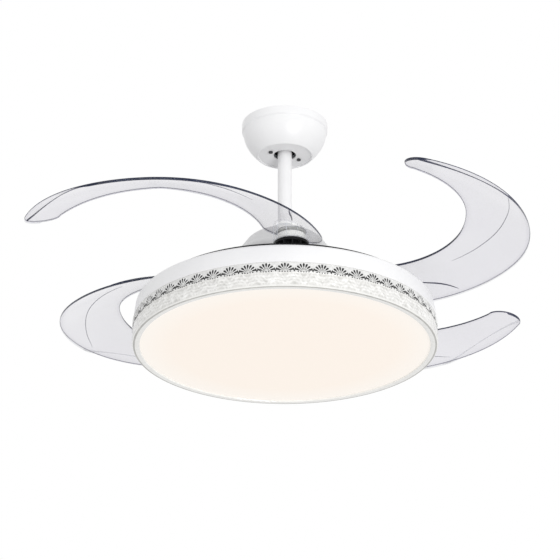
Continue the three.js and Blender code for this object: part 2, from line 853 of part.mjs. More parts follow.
// Inner and outer radius of the blade at an angle round the drum from the hinge.
function bladeSpan(angle) {
  const bulge = bladeBulge * Math.exp(-(((angle - bulgeAt) / bulgeReach) ** 2));
  const outer = hingeCircle + bladeWidth / 2 + bulge;
  const roundFrom = bladeSweep - tipRound;
  const narrow = bladeWidth - tipWidth;
  const share = smoothShare((angle - narrowFrom) / (roundFrom - narrowFrom));
  const inner = hingeCircle - bladeWidth / 2 + narrow * share ** narrowCurve;
  if (angle < 0) {
    const away = hingeCircle * Math.sin(degrees(-angle));
    const half = Math.sqrt(Math.max(0, (bladeWidth / 2) ** 2 - away ** 2));
    return [hingeCircle - half, hingeCircle + half];
  }
  if (angle > roundFrom) {
    const half = (tipWidth / 2) * Math.sqrt(Math.max(0, 1 - ((angle - roundFrom) / tipRound) ** 2));
    return [outer - tipWidth / 2 - half, outer - tipWidth / 2 + half];
  }
  return [inner, outer];
}

function bladeAngles() {
  const rootAngle = THREE.MathUtils.radToDeg(Math.asin(bladeWidth / 2 / hingeCircle));
  const angles = [];
  for (let i = 0; i < capStations; i += 1) {
    angles.push(-rootAngle * Math.cos((Math.PI / 2) * (i / capStations)));
  }
  const middle = bladeSweep - tipRound;
  for (let i = 0; i < bladeStations; i += 1) {
    angles.push((middle * i) / bladeStations);
  }
  for (let i = 0; i <= capStations; i += 1) {
    angles.push(middle + tipRound * Math.sin((Math.PI / 2) * (i / capStations)));
  }
  return angles;
}

// A closed skin between the blade's top face and a lower face given by its own height.
function bladeSkin(bottomHeight) {
  const angles = bladeAngles();
  const positions = [];
  const index = [];
  const across = bladeStrips + 1;
  const layer = angles.length * across;
  for (const lower of [false, true]) {
    for (const angle of angles) {
      const [inner, outer] = bladeSpan(angle);
      for (let k = 0; k < across; k += 1) {
        const radius = inner + ((outer - inner) * k) / bladeStrips;
        const top = bladeHeight(angle, radius);
        const turn = degrees(angle);
        positions.push(
          radius * Math.cos(turn) - hingeCircle,
          -radius * Math.sin(turn),
          lower ? bottomHeight(top) : top,
        );
      }
    }
  }
  const quad = (a, b, c, d) => index.push(a, b, c, a, c, d);
  for (let i = 0; i < angles.length - 1; i += 1) {
    for (let k = 0; k < bladeStrips; k += 1) {
      const a = i * across + k;
      quad(a, a + across, a + across + 1, a + 1);
      quad(layer + a, layer + a + 1, layer + a + across + 1, layer + a + across);
    }
    const left = i * across;
    const right = left + bladeStrips;
    quad(left, layer + left, layer + left + across, left + across);
    quad(right, right + across, layer + right + across, layer + right);
  }
  const last = (angles.length - 1) * across;
  for (let k = 0; k < bladeStrips; k += 1) {
    quad(k, k + 1, layer + k + 1, layer + k);
    quad(last + k, layer + last + k, layer + last + k + 1, last + k + 1);
  }
  const geometry = new THREE.BufferGeometry();
  geometry.setAttribute('position', new THREE.Float32BufferAttribute(positions, 3));
  geometry.setIndex(index);
  return solid(geometry);
}

function blade() {
  const highZ = bladeBaseZ + 3 * crownMiddle;
  const sheet = bladeSkin((top) => top - bladeThickness);
  const skirtBottomZ = hubFlangeZ + seatGap;
  const boss = bladeSkin(() => skirtBottomZ)
    .intersect(rod(bossRadius, skirtBottomZ - cutPast, highZ, 0, 0, middleSegments))
    .subtract(rod(hubDrumRadius + seatGap, skirtBottomZ - cutPast, bossBottomZ, 0, 0, middleSegments));
  let whole = sheet.add(boss)
    .subtract(rod(retainerOuter + seatGap, bossFloorZ, highZ, 0, 0, middleSegments))
    .subtract(rod(postHeadRadius + 2 * turnGap, bossBottomZ - cutPast, highZ));
  for (const place of retainerScrewPlaces()) {
    whole = whole.subtract(rod(
      retainerScrewRadius + seatGap, bossBottomZ - cutPast, bossFloorZ + cutPast, place.x, place.y,
      screwSegments,
    ));
  }
  return whole;
}

// ---- Lamp ---------------------------------------------------------------------------------------------

function lampPan() {
  const skirtInner = skirtRadius - panWall;
  const skirtBottomZ = panBottomZ - skirtHeight;
  const bore = shaftRadius + seatGap;
  const half = panShoulder / 2;
  let pan = turned([
    [bore, panTopZ],
    [panTopRadius - panShoulder, panTopZ],
    [panTopRadius - panShoulder / 4, panTopZ - panShoulder / 4],
    [panTopRadius, panTopZ - panShoulder],
    [panBottomRadius, panBottomZ],
    [skirtRadius, panBottomZ],
    [skirtRadius, skirtBottomZ],
    [skirtInner, skirtBottomZ],
    [skirtInner, panBottomZ + panWall],
    [panBottomRadius - panWall, panBottomZ + panWall],
    [panTopRadius - panWall, panTopZ - panShoulder - panWall / 2],
    [panTopRadius - panWall - half / 2, panFloorZ - half / 2],
    [panTopRadius - panShoulder - panWall / 2, panFloorZ],
    [bore, panFloorZ],
  ], wideSegments);
  for (let i = 0; i < lugCount; i += 1) {
    const middle = (i * 360) / lugCount;
    pan = pan.add(sector(
      skirtRadius + lugDepth, skirtInner + panWall / 2, skirtBottomZ, skirtBottomZ + lugHeight,
      middle - lugAngle / 2, middle + lugAngle / 2,
    ));
  }
  return pan;
}

function crystalRing() {
  const inner = skirtRadius + shadeRunGap;
  const lipTopZ = shadeBottomZ + lipThickness;
  const skirtBottomZ = panBottomZ - skirtHeight;
  let ring = turned([
    [inner, shadeTopZ],
    [shadeRadius - shadeTopEdge, shadeTopZ],
    [shadeRadius - shadeShoulderInset, shadeTopZ - shadeShoulder],
    [shadeRadius, shadeTopZ - shellBand],
    [shadeRadius, shadeBottomZ + shadeFoot],
    [shadeRadius - shadeFootInset, shadeBottomZ + shadeFootEdge],
    [shadeRadius - shadeBottomInset, shadeBottomZ],
    [lipInnerRadius, shadeBottomZ],
    [lipInnerRadius, lipTopZ],
    [inner, lipTopZ],
  ], wideSegments);
  const grooveRadius = skirtRadius + lugDepth + 2 * turnGap;
  const grooveLow = skirtBottomZ - 2 * turnGap;
  const grooveHigh = skirtBottomZ + lugHeight + 2 * turnGap;
  const play = 2 * turnGap;
  for (let i = 0; i < lugCount; i += 1) {
    const middle = (i * 360) / lugCount;
    const start = middle + lugAngle / 2 + play;
    const entry = middle - unlockAngle - lugAngle / 2 - play;
    ring = ring
      .subtract(sector(grooveRadius, inner - cutPast, grooveLow, grooveHigh, entry, start))
      .subtract(sector(
        grooveRadius, inner - cutPast, grooveLow, shadeTopZ + cutPast, entry, entry + lugAngle + 2 * play,
      ));
  }
  return ring;
}

function diffuser() {
  const lowZ = shadeBottomZ + lipThickness + seatGap;
  return rod(skirtRadius + shadeRunGap - seatGap, lowZ, lowZ + diffuserThickness, 0, 0, wideSegments);
}

function lampFlange() {
  const bore = shaftRadius + seatGap;
  const lowZ = panTopZ + seatGap;
  return turned([
    [bore, lowZ],
    [flangeRadius, lowZ],
    [flangeRadius, lowZ + flangeThickness],
    [bore + spacerWall, lowZ + flangeThickness],
    [bore + spacerWall, lowerBearingZ - seatGap],
    [bore, lowerBearingZ - seatGap],
  ], middleSegments);
}

function shaftNut() {
  const topZ = panFloorZ - seatGap;
  return rod(nutRadius, topZ - nutHeight, topZ, 0, 0, 6)
    .subtract(rod(
      shaftRadius + seatGap, topZ - nutHeight - cutPast, topZ + cutPast, 0, 0, middleSegments,
    ));
}

// The electronics stand either side of the shaft, so that the lamp hangs level.
function lampModule(side) {
  const z = panFloorZ - seatGap - driverSize.z / 2;
  return block(side * driverOffset, 0, z, driverSize.x, driverSize.y, driverSize.z);
}

function ledTray() {
  const wallInner = trayRadius - trayThickness;
  return turned([
    [wallInner, trayTopZ],
    [trayRadius + trayFlange, trayTopZ],
    [trayRadius + trayFlange, trayTopZ - trayThickness],
    [trayRadius, trayTopZ - trayThickness],
    [trayRadius, trayBottomZ],
    [trayHole, trayBottomZ],
    [trayHole, trayBottomZ + trayThickness],
    [wallInner, trayBottomZ + trayThickness],
  ], middleSegments);
}

function ledBoard() {
  const topZ = trayBottomZ - seatGap;
  return tube(ledOuterRadius, ledInnerRadius, topZ - ledThickness, topZ);
}

// ---- Assembly ---------------------------------------------------------------------------------------

function paint(color, roughness, metalness) {
  return new THREE.MeshStandardMaterial({ color, roughness, metalness });
}

const whiteMetal = paint(0xf2f2f2, 0.35, 0.1);
const steel = paint(0xb8bcc0, 0.35, 0.9);
const blackPlastic = paint(0x1c1c1e, 0.5, 0);
const whitePlastic = paint(0xe9e9e6, 0.5, 0);
const copper = paint(0xb5692f, 0.4, 0.7);
const bronze = paint(0xa9834a, 0.45, 0.8);
const magnetBlack = paint(0x2a2a2c, 0.6, 0.3);
const boardWhite = paint(0xf7f4e6, 0.6, 0);
const clearPlastic = new THREE.MeshStandardMaterial({
  color: 0xe6eaf0, roughness: 0.08, metalness: 0, transparent: true, opacity: 0.35,
});
const crystalPlastic = new THREE.MeshStandardMaterial({
  color: 0xf0efeb, roughness: 0.12, metalness: 0, transparent: true, opacity: 0.6,
});
const milkyPlastic = new THREE.MeshStandardMaterial({
  color: 0xfff6e8, roughness: 0.6, metalness: 0, emissive: 0xfff1dc, emissiveIntensity: 0.8,
});

const fan = new THREE.Group();
fan.name = 'retractable_blade_ceiling_fan';

function add(parent, name, shape, material) {
  const mesh = new THREE.Mesh(shape instanceof THREE.BufferGeometry ? shape : geometryOf(shape), material);
  mesh.name = name;
  parent.add(mesh);
  return mesh;
}

add(fan, 'ceiling_bracket', ceilingBracket(), steel);
add(fan, 'canopy', canopy(), whiteMetal);
const canopyScrewShape = geometryOf(canopyScrew());
canopyScrewPlaces().forEach((place, i) => {
  const screw = add(fan, `canopy_screw_${i + 1}`, canopyScrewShape, magnetBlack);
  screw.position.set(place.x, place.y, 0);
});
const shelfZ = -bracketThickness - seatGap;
add(fan, 'remote_receiver', block(
  0, bracketTabReach - receiverSize.y / 2, shelfZ - receiverSize.z / 2,
  receiverSize.x, receiverSize.y, receiverSize.z,
), whitePlastic);
add(fan, 'terminal_block', block(
  0, terminalSize.y / 2 - bracketTabReach, shelfZ - terminalSize.z / 2,
  terminalSize.x, terminalSize.y, terminalSize.z,
), whitePlastic);

add(fan, 'ball_liner', ballLiner(), whitePlastic);
add(fan, 'hanger_ball', hangerBall(), blackPlastic);
add(fan, 'ball_cross_pin', crossPin(), steel);
add(fan, 'downrod', downrod(), whiteMetal);
add(fan, 'motor_shaft', motorShaft(), steel);
add(fan, 'yoke_bolt', yokeBolt(), steel);
add(fan, 'yoke_nut', yokeNut(), steel);

add(fan, 'motor_top_cover', topCover(), whiteMetal);
add(fan, 'motor_bottom_cover', bottomCover(), whiteMetal);
add(fan, 'magnet_ring', tube(
  magnetOuter, magnetInner, coverJointZ - magnetHeight / 2, coverJointZ + magnetHeight / 2,
), magnetBlack);
add(fan, 'stator_core', statorCore(), steel);
add(fan, 'winding_upper', winding(coreZ + coreHeight + seatGap), copper);
add(fan, 'winding_lower', winding(coreZ - seatGap - windingHeight), copper);
add(fan, 'upper_bearing', bearing(upperBearingZ - bearingHeight), steel);
add(fan, 'lower_bearing', bearing(lowerBearingZ), steel);

add(fan, 'carrier_plate', carrierPlate(), blackPlastic);
const plateBoltShape = geometryOf(plateBolt());
boltPlaces().forEach((place, i) => {
  const bolt = add(fan, `plate_bolt_${i + 1}`, plateBoltShape, steel);
  bolt.position.set(place.x, place.y, 0);
});
add(fan, 'sync_gear_ring', gearRing(), whitePlastic);

const postShape = geometryOf(hingePost());
const hubShape = geometryOf(bladeHub());
const bushShape = geometryOf(hingeBush());
const springShape = geometryOf(returnSpring());
const retainerShape = geometryOf(retainer());
const bladeShape = geometryOf(blade());
for (let i = 0; i < bladeCount; i += 1) {
  const number = i + 1;
  const place = hingePlace(i);
  const station = new THREE.Group();
  station.position.set(place.x, place.y, 0);
  station.rotation.z = degrees(firstHingeAngle - (i * 360) / bladeCount);
  fan.add(station);
  add(station, `hinge_post_${number}`, postShape, steel);
  const opened = new THREE.Group();
  opened.rotation.z = degrees(foldAngle);
  station.add(opened);
  add(opened, `blade_hub_${number}`, hubShape, blackPlastic);
  add(opened, `hinge_bush_${number}`, bushShape, bronze);
  add(opened, `return_spring_${number}`, springShape, steel);
  add(opened, `blade_retainer_${number}`, retainerShape, whitePlastic);
  add(opened, `blade_${number}`, bladeShape, clearPlastic);
}

add(fan, 'lamp_flange', lampFlange(), steel);
add(fan, 'shaft_nut', shaftNut(), steel);
add(fan, 'lamp_pan', lampPan(), whiteMetal);
add(fan, 'led_driver', lampModule(1), whitePlastic);
add(fan, 'motor_controller', lampModule(-1), whitePlastic);
add(fan, 'led_tray', ledTray(), whiteMetal);
add(fan, 'led_board', ledBoard(), boardWhite);
add(fan, 'crystal_ring', crystalRing(), crystalPlastic);
add(fan, 'diffuser', diffuser(), milkyPlastic);

export default fan;
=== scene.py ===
import math

import bmesh
import bpy
from mathutils import Matrix, Vector, noise


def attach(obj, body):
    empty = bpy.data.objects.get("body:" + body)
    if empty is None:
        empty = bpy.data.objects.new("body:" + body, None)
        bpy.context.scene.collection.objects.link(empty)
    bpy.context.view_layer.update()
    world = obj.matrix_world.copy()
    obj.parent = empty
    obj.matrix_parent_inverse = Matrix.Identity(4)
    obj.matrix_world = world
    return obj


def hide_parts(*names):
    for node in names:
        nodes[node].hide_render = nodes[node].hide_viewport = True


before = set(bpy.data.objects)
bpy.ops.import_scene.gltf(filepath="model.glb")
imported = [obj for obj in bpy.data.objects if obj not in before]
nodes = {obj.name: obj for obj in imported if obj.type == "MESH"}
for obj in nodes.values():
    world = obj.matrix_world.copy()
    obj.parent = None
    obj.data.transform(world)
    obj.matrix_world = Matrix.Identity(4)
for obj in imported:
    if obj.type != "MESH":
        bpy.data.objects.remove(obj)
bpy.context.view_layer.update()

# ==== The room and the camera ====================================================================
# The fan hangs in a bright white studio, high over a pale floor, with one large soft light on
# its right. The camera stands in front of the fan, well below it, and looks up with a long lens.

scene = bpy.context.scene
scene.view_settings.view_transform = "Standard"

camera_place = (0.0, -3.3165, -1.8060)
camera_aim = (-0.00224, 0.90955, 0.41558)
camera_lens = 141.43
sensor_width = 36.0
floor_height = -6.5
floor_size = 60.0
floor_white = (0.93, 0.93, 0.93, 1.0)
backdrop_white = (1.0, 1.0, 1.0, 1.0)
backdrop_light = 1.0
room_light = 0.80
soft_light_power = 144.0
soft_light_size = 3.0
soft_light_place = Vector((2.1, -4.6, -2.6))
fan_middle = Vector((0.0, 0.0, -0.3))

camera_data = bpy.data.cameras.new("camera")
camera_data.lens = camera_lens
camera_data.sensor_width = sensor_width
camera = bpy.data.objects.new("camera", camera_data)
scene.collection.objects.link(camera)
camera.location = camera_place
camera.rotation_mode = "QUATERNION"
camera.rotation_quaternion = Vector(camera_aim).to_track_quat("-Z", "Y")
scene.camera = camera

soft_light_data = bpy.data.lights.new("soft_light", "AREA")
soft_light_data.shape = "DISK"
soft_light_data.size = soft_light_size
soft_light_data.energy = soft_light_power
soft_light = bpy.data.objects.new("soft_light", soft_light_data)
scene.collection.objects.link(soft_light)
soft_light.location = soft_light_place
soft_light.rotation_mode = "QUATERNION"
soft_light.rotation_quaternion = (fan_middle - soft_light_place).to_track_quat("-Z", "Y")


def seen_directly(tree):
    """1 where the eye, a reflection or a look through clear plastic meets the backdrop."""
    path = tree.nodes.new("ShaderNodeLightPath")
    seen = path.outputs["Is Camera Ray"]
    for kind in ("Is Glossy Ray", "Is Transmission Ray"):
        either = tree.nodes.new("ShaderNodeMath")
        either.operation = "MAXIMUM"
        tree.links.new(seen, either.inputs[0])
        tree.links.new(path.outputs[kind], either.inputs[1])
        seen = either.outputs[0]
    return seen


def backdrop(tree, strength):
    white = tree.nodes.new("ShaderNodeBackground")
    white.inputs["Color"].default_value = backdrop_white
    white.inputs["Strength"].default_value = strength
    return white.outputs[0]


def new_material(name):
    made = bpy.data.materials.new(name)
    made.use_nodes = True
    return made


def shader_of(made):
    return made.node_tree.nodes["Principled BSDF"]


world = bpy.data.worlds.new("white_studio")
world.use_nodes = True
scene.world = world
tree = world.node_tree
tree.nodes.clear()
either = tree.nodes.new("ShaderNodeMixShader")
tree.links.new(seen_directly(tree), either.inputs[0])
tree.links.new(backdrop(tree, room_light), either.inputs[1])
tree.links.new(backdrop(tree, backdrop_light), either.inputs[2])
world_out = tree.nodes.new("ShaderNodeOutputWorld")
tree.links.new(either.outputs[0], world_out.inputs[0])

bpy.ops.object.select_all(action="DESELECT")
bpy.ops.mesh.primitive_plane_add(size=floor_size, location=(0, 0, floor_height))
floor = bpy.context.object
floor.name = "studio_floor"
pale = new_material("pale_floor")
shader_of(pale).inputs["Base Color"].default_value = floor_white
shader_of(pale).inputs["Roughness"].default_value = 0.9
floor.data.materials.append(pale)

# ==== The canopy =================================================================================
# A pressed steel bowl, powder-coated white, with a stepped band at its rim and a recessed bottom
# with a round hole for the ball. Two dark screws hold it to the bracket's seat.

mm = 0.001
merge_distance = 1e-6
ceiling_gap = 0.3
rim_radius = 73.0
rim_bottom = -13.8
bowl_top = -16.3
bowl_top_radius = 70.5
bowl_bottom = -59.8
bowl_bottom_radius = 47.0
bowl_foot = 2.1
bowl_wall = 1.4
bowl_curve = 1.9
bowl_steps = 18
canopy_floor = -57.8
canopy_hole = 19.0


def select_only(*pieces):
    bpy.ops.object.select_all(action="DESELECT")
    for piece in pieces:
        piece.select_set(True)
    bpy.context.view_layer.objects.active = pieces[0]


def edit_all():
    """Edit mode on the piece in hand, with the whole of it selected."""
    bpy.ops.object.mode_set(mode="EDIT")
    bpy.ops.mesh.select_all(action="SELECT")


def close_up():
    """In the piece in hand, points that coincide become one and all faces point outwards."""
    edit_all()
    bpy.ops.mesh.remove_doubles(threshold=merge_distance)
    bpy.ops.mesh.normals_make_consistent(inside=False)
    bpy.ops.object.mode_set(mode="OBJECT")


def turned(name, outline, steps, angle=30.0):
    """A piece turned once round the axis. The outline is a closed loop of radius and height in mm."""
    bpy.ops.object.select_all(action="DESELECT")
    bpy.ops.mesh.primitive_circle_add(vertices=len(outline), radius=0.01, location=(0, 0, 0))
    piece = bpy.context.object
    piece.name = name
    for vertex, (radius, height) in zip(piece.data.vertices, outline):
        vertex.co = (radius * mm, 0.0, height * mm)
    edit_all()
    bpy.ops.mesh.spin(steps=steps, angle=2 * math.pi, center=(0, 0, 0), axis=(0, 0, 1))
    close_up()
    bpy.ops.object.shade_smooth_by_angle(angle=math.radians(angle))
    return piece


def softened(outline, corners):
    """The outline with some corners rounded. Corners gives an index and a radius in mm for each."""
    most_of_side = 0.45
    arc_steps = 4
    points = []
    for i, point in enumerate(outline):
        radius = corners.get(i)
        if radius is None:
            points.append(point)
            continue
        here = Vector(point)
        before = Vector(outline[i - 1]) - here
        after = Vector(outline[(i + 1) % len(outline)]) - here
        reach = min(radius, most_of_side * before.length, most_of_side * after.length)
        start = here + before.normalized() * reach
        end = here + after.normalized() * reach
        for k in range(arc_steps + 1):
            share = k / arc_steps
            point_on = start.lerp(here, share).lerp(here.lerp(end, share), share)
            points.append((point_on.x, point_on.y))
    return points


def grain_group():
    """Grain and tone of a finished surface: a fine height pattern and a slow, faint change of shade."""
    group = bpy.data.node_groups.new("surface_grain", "ShaderNodeTree")
    for way, names in (("INPUT", ("Grain size", "Patch size")), ("OUTPUT", ("Height", "Tone"))):
        for name in names:
            group.interface.new_socket(name=name, in_out=way, socket_type="NodeSocketFloat")
    ins = group.nodes.new("NodeGroupInput")
    outs = group.nodes.new("NodeGroupOutput")
    place = group.nodes.new("ShaderNodeTexCoord")
    grain = group.nodes.new("ShaderNodeTexNoise")
    patch = group.nodes.new("ShaderNodeTexNoise")
    for texture, size, detail in ((grain, "Grain size", 3.0), (patch, "Patch size", 4.0)):
        texture.inputs["Detail"].default_value = detail
        group.links.new(place.outputs["Object"], texture.inputs["Vector"])
        group.links.new(ins.outputs[size], texture.inputs["Scale"])
    spread = group.nodes.new("ShaderNodeMapRange")
    spread.inputs["From Min"].default_value = 0.3
    spread.inputs["From Max"].default_value = 0.7
    group.links.new(patch.outputs["Fac"], spread.inputs["Value"])
    group.links.new(grain.outputs["Fac"], outs.inputs["Height"])
    group.links.new(spread.outputs["Result"], outs.inputs["Tone"])
    return group


surface_grain = grain_group()


def grained(made, grain_size, patch_size):
    """The grain group, placed in a finish with its own sizes."""
    grain = made.node_tree.nodes.new("ShaderNodeGroup")
    grain.node_tree = surface_grain
    grain.inputs["Grain size"].default_value = grain_size
    grain.inputs["Patch size"].default_value = patch_size
    return grain


def between(made, share, low, high):
    """A value in a finish that runs from low to high with a share from 0 to 1."""
    spread = made.node_tree.nodes.new("ShaderNodeMapRange")
    spread.inputs["To Min"].default_value = low
    spread.inputs["To Max"].default_value = high
    made.node_tree.links.new(share, spread.inputs["Value"])
    return spread.outputs["Result"]


def bumpy(made, grain, strength, depth):
    """The grain's height as a bump in the finish, with its depth in mm."""
    bump = made.node_tree.nodes.new("ShaderNodeBump")
    bump.inputs["Strength"].default_value = strength
    bump.inputs["Distance"].default_value = depth * mm
    made.node_tree.links.new(grain.outputs["Height"], bump.inputs["Height"])
    return bump.outputs["Normal"]


def finish(
    name, colour, shade, smooth, rough, grain_size=900.0, patch_size=14.0, depth=0.02, metal=0.0, sheen=0.5,
):
    """A finish: its colour, a slightly different shade in patches, its range of roughness and its grain."""
    made = new_material(name)
    shader = shader_of(made)
    links = made.node_tree.links
    grain = grained(made, grain_size, patch_size)
    tint = made.node_tree.nodes.new("ShaderNodeMix")
    tint.data_type = "RGBA"
    tint.inputs["A"].default_value = (*colour, 1.0)
    tint.inputs["B"].default_value = (*shade, 1.0)
    links.new(grain.outputs["Tone"], tint.inputs["Factor"])
    links.new(tint.outputs["Result"], shader.inputs["Base Color"])
    links.new(between(made, grain.outputs["Tone"], smooth, rough), shader.inputs["Roughness"])
    links.new(bumpy(made, grain, 0.5, depth), shader.inputs["Normal"])
    shader.inputs["Metallic"].default_value = metal
    shader.inputs["Specular IOR Level"].default_value = sheen
    return made


def coat(piece, *finishes):
    piece.data.materials.clear()
    for made in finishes:
        piece.data.materials.append(made)


def recoat(name, made):
    """A CAD node that keeps its mesh takes a finish of its own."""
    for place in nodes[name].material_slots:
        place.material = made


white_coat = finish("white_coat", (0.88, 0.88, 0.885), (0.85, 0.85, 0.86), 0.28, 0.38, depth=0.05)

bowl = []
for i in range(bowl_steps + 1):
    share = i / bowl_steps
    radius = bowl_top_radius - (bowl_top_radius - bowl_bottom_radius) * share**bowl_curve
    bowl.append((radius, bowl_top + (bowl_bottom - bowl_top) * share))
inner_bowl = [(r - bowl_wall, max(h, canopy_floor + bowl_wall)) for r, h in reversed(bowl)]
lip = bowl_bottom_radius - bowl_foot
canopy_outline = [
    (rim_radius - bowl_wall, -ceiling_gap),
    (rim_radius, -ceiling_gap),
    (rim_radius, rim_bottom),
    *bowl,
    (lip, bowl_bottom),
    (lip, canopy_floor),
    (canopy_hole, canopy_floor),
    (canopy_hole, canopy_floor + bowl_wall),
    *inner_bowl,
    (rim_radius - bowl_wall, rim_bottom),
]
bowl_end = 3 + bowl_steps
canopy_corners = {2: 1.2, 3: 1.0, bowl_end: 1.3, bowl_end + 1: 0.8, bowl_end + 3: 0.5}
canopy = turned("canopy_bowl", softened(canopy_outline, canopy_corners), 128)
coat(canopy, white_coat)
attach(canopy, "ceiling_mount")
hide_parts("canopy")

# ==== The bracket and what is wired on it ========================================================
# A folded, galvanised steel bracket with a seat ring for the ball, a remote-control receiver in
# a moulded case and a terminal block. All of them are inside the canopy.

galvanised = finish(
    "galvanised", (0.56, 0.58, 0.60), (0.42, 0.44, 0.47), 0.30, 0.48, 300.0, 90.0, 0.03, 0.9,
)
moulded_white = finish(
    "moulded_white", (0.80, 0.80, 0.77), (0.76, 0.76, 0.73), 0.42, 0.55, 1400.0, 20.0, 0.03,
)
dark_screw = finish(
    "dark_screw", (0.035, 0.035, 0.04), (0.06, 0.06, 0.065), 0.32, 0.45, 900.0, 60.0, 0.02, 0.7,
)
recoat("ceiling_bracket", galvanised)
recoat("remote_receiver", moulded_white)
recoat("terminal_block", moulded_white)
recoat("canopy_screw_1", dark_screw)
recoat("canopy_screw_2", dark_screw)

# ==== The hanger ball and the downrod ============================================================
# A black moulded ball, bored for the rod and held on it by a steel cross pin, sits in the
# bracket's seat. The rod is steel tube in the same white coat as the canopy.

ball_middle = -32.0
ball_radius = 24.0
ball_shoulder = 18.0
ball_steps = 32
rod_radius = 12.0
rod_wall = 1.8
rod_top = -10.0
rod_bottom = -203.5
rod_clearance = 0.3
black_moulded = finish(
    "black_moulded", (0.006, 0.006, 0.007), (0.011, 0.011, 0.012), 0.3, 0.46, 1600.0, 25.0, 0.04, sheen=0.12,
)


def ring_section(inner, outer, low, high):
    """The section of a plain ring, as a loop of radius and height."""
    return [(inner, low), (outer, low), (outer, high), (inner, high)]


bore = rod_radius + rod_clearance
low_turn = -math.acos(bore / ball_radius)
high_turn = math.asin(ball_shoulder / ball_radius)
ball_outline = []
for i in range(ball_steps + 1):
    turn = low_turn + (high_turn - low_turn) * i / ball_steps
    ball_outline.append((ball_radius * math.cos(turn), ball_middle + ball_radius * math.sin(turn)))
ball_outline.append((bore, ball_middle + ball_shoulder))
ball = turned("ball_on_rod", ball_outline, 64)
coat(ball, black_moulded)
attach(ball, "pendant")
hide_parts("hanger_ball")
recoat("ball_liner", black_moulded)

rod_outline = ring_section(rod_radius - rod_wall, rod_radius, rod_bottom, rod_top)
downrod = turned("downrod_tube", softened(rod_outline, {2: 0.6, 3: 0.6}), 64)
coat(downrod, white_coat)
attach(downrod, "pendant")
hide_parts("downrod")

bright_steel = finish(
    "bright_steel", (0.62, 0.63, 0.65), (0.54, 0.55, 0.57), 0.22, 0.34, 700.0, 60.0, 0.02, 1.0,
)
for name in ("ball_cross_pin", "yoke_bolt", "yoke_nut"):
    recoat(name, bright_steel)

# ==== The motor ==================================================================================
# A white domed upper cover and a straight lower cover meet at a fine joint. The steel shaft
# ends in a collar that takes the rod. The windings, magnets and bearings are inside.

motor_radius = 90.0
dome_top = -208.5
dome_joint = -286.0
joint_gap = 0.3
motor_bottom = -330.2
cover_wall = 3.0
rod_hole = 13.0
roof_radius = 24.3
roof_drop = 0.5
shaft_hole = 16.0
# The covers are white; their coat is painted light grey, as painted shade on the motor.
shaded_motor_coat = finish("shaded_motor_coat", (0.69, 0.69, 0.70), (0.65, 0.65, 0.66), 0.3, 0.42, depth=0.06)
dome_shares = [
    (0.378, 0.014), (0.567, 0.077), (0.69, 0.17), (0.789, 0.323),
    (0.9, 0.5), (0.97, 0.6), (1.0, 0.72), (1.0, 1.0),
]


def smooth_between(points, per_span):
    """More points on a smooth curve through the given ones."""
    out = []
    for i in range(len(points) - 1):
        before = Vector(points[max(i - 1, 0)])
        here = Vector(points[i])
        there = Vector(points[i + 1])
        after = Vector(points[min(i + 2, len(points) - 1)])
        for k in range(per_span):
            t = k / per_span
            spot = 0.5 * (
                2 * here
                + (there - before) * t
                + (2 * before - 5 * here + 4 * there - after) * t**2
                + (3 * here - before - 3 * there + after) * t**3
            )
            out.append((spot.x, spot.y))
    out.append(points[-1])
    return out


dome = [
    (min(r, 1.0) * motor_radius, dome_top - (dome_top - dome_joint) * h)
    for r, h in smooth_between(dome_shares, 4)
]
roof = dome_top - cover_wall
dome_inside = [(r - cover_wall, min(h, roof) - roof_drop) for r, h in reversed(dome[:-1])]
top_outline = [(rod_hole, dome_top), *dome, (motor_radius - cover_wall, dome_joint), *dome_inside]
top_outline += [(roof_radius, roof), (rod_hole, roof)]
top_cover = turned("motor_dome", top_outline, 128, 40)
coat(top_cover, shaded_motor_coat)
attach(top_cover, "rotor")
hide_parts("motor_top_cover")

bottom_outline = [
    (motor_radius, dome_joint - joint_gap),
    (motor_radius, motor_bottom),
    (shaft_hole, motor_bottom),
    (shaft_hole, motor_bottom + cover_wall),
    (motor_radius - cover_wall, motor_bottom + cover_wall),
    (motor_radius - cover_wall, dome_joint - joint_gap),
]
bottom_cover = turned("motor_base", softened(bottom_outline, {0: 0.4, 1: 2.0}), 128)
coat(bottom_cover, shaded_motor_coat)
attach(bottom_cover, "rotor")
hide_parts("motor_bottom_cover")

copper_wire = finish(
    "copper_wire", (0.55, 0.24, 0.10), (0.40, 0.16, 0.06), 0.3, 0.45, 1200.0, 80.0, 0.2, 0.8,
)
iron_black = finish(
    "iron_black", (0.05, 0.05, 0.055), (0.08, 0.08, 0.085), 0.4, 0.6, 900.0, 60.0, 0.05, 0.5,
)
for name in ("motor_shaft", "stator_core", "upper_bearing", "lower_bearing", "lamp_flange", "shaft_nut"):
    recoat(name, bright_steel)
for name in ("winding_upper", "winding_lower"):
    recoat(name, copper_wire)
recoat("magnet_ring", iron_black)

# ==== The blade carrier ==========================================================================
# A black moulded plate turns with the motor, just above the lamp. It carries the four hinge
# posts and a guide for the white nylon ring whose teeth make the blades fold together.

blade_count = 4
carrier_top = -330.5
carrier_bottom = -335.5
carrier_radius = 226.0
carrier_hole = 40.0
guide_outer = 157.4
guide_inner = 152.2
guide_top = carrier_top + 6.5
carrier_outline = [
    (carrier_hole, carrier_bottom),
    (carrier_radius, carrier_bottom),
    (carrier_radius, carrier_top),
    (guide_outer, carrier_top),
    (guide_outer, guide_top),
    (guide_inner, guide_top),
    (guide_inner, carrier_top),
    (carrier_hole, carrier_top),
]
carrier = turned("carrier_disc", softened(carrier_outline, {1: 0.8, 2: 0.8, 4: 0.5, 5: 0.5}), 160)
coat(carrier, black_moulded)
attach(carrier, "rotor")
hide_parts("carrier_plate")
nylon = finish("nylon", (0.87, 0.87, 0.86), (0.82, 0.82, 0.80), 0.4, 0.52, 1500.0, 30.0, 0.03)
recoat("sync_gear_ring", nylon)
for i in range(blade_count):
    recoat(f"plate_bolt_{i + 1}", dark_screw)

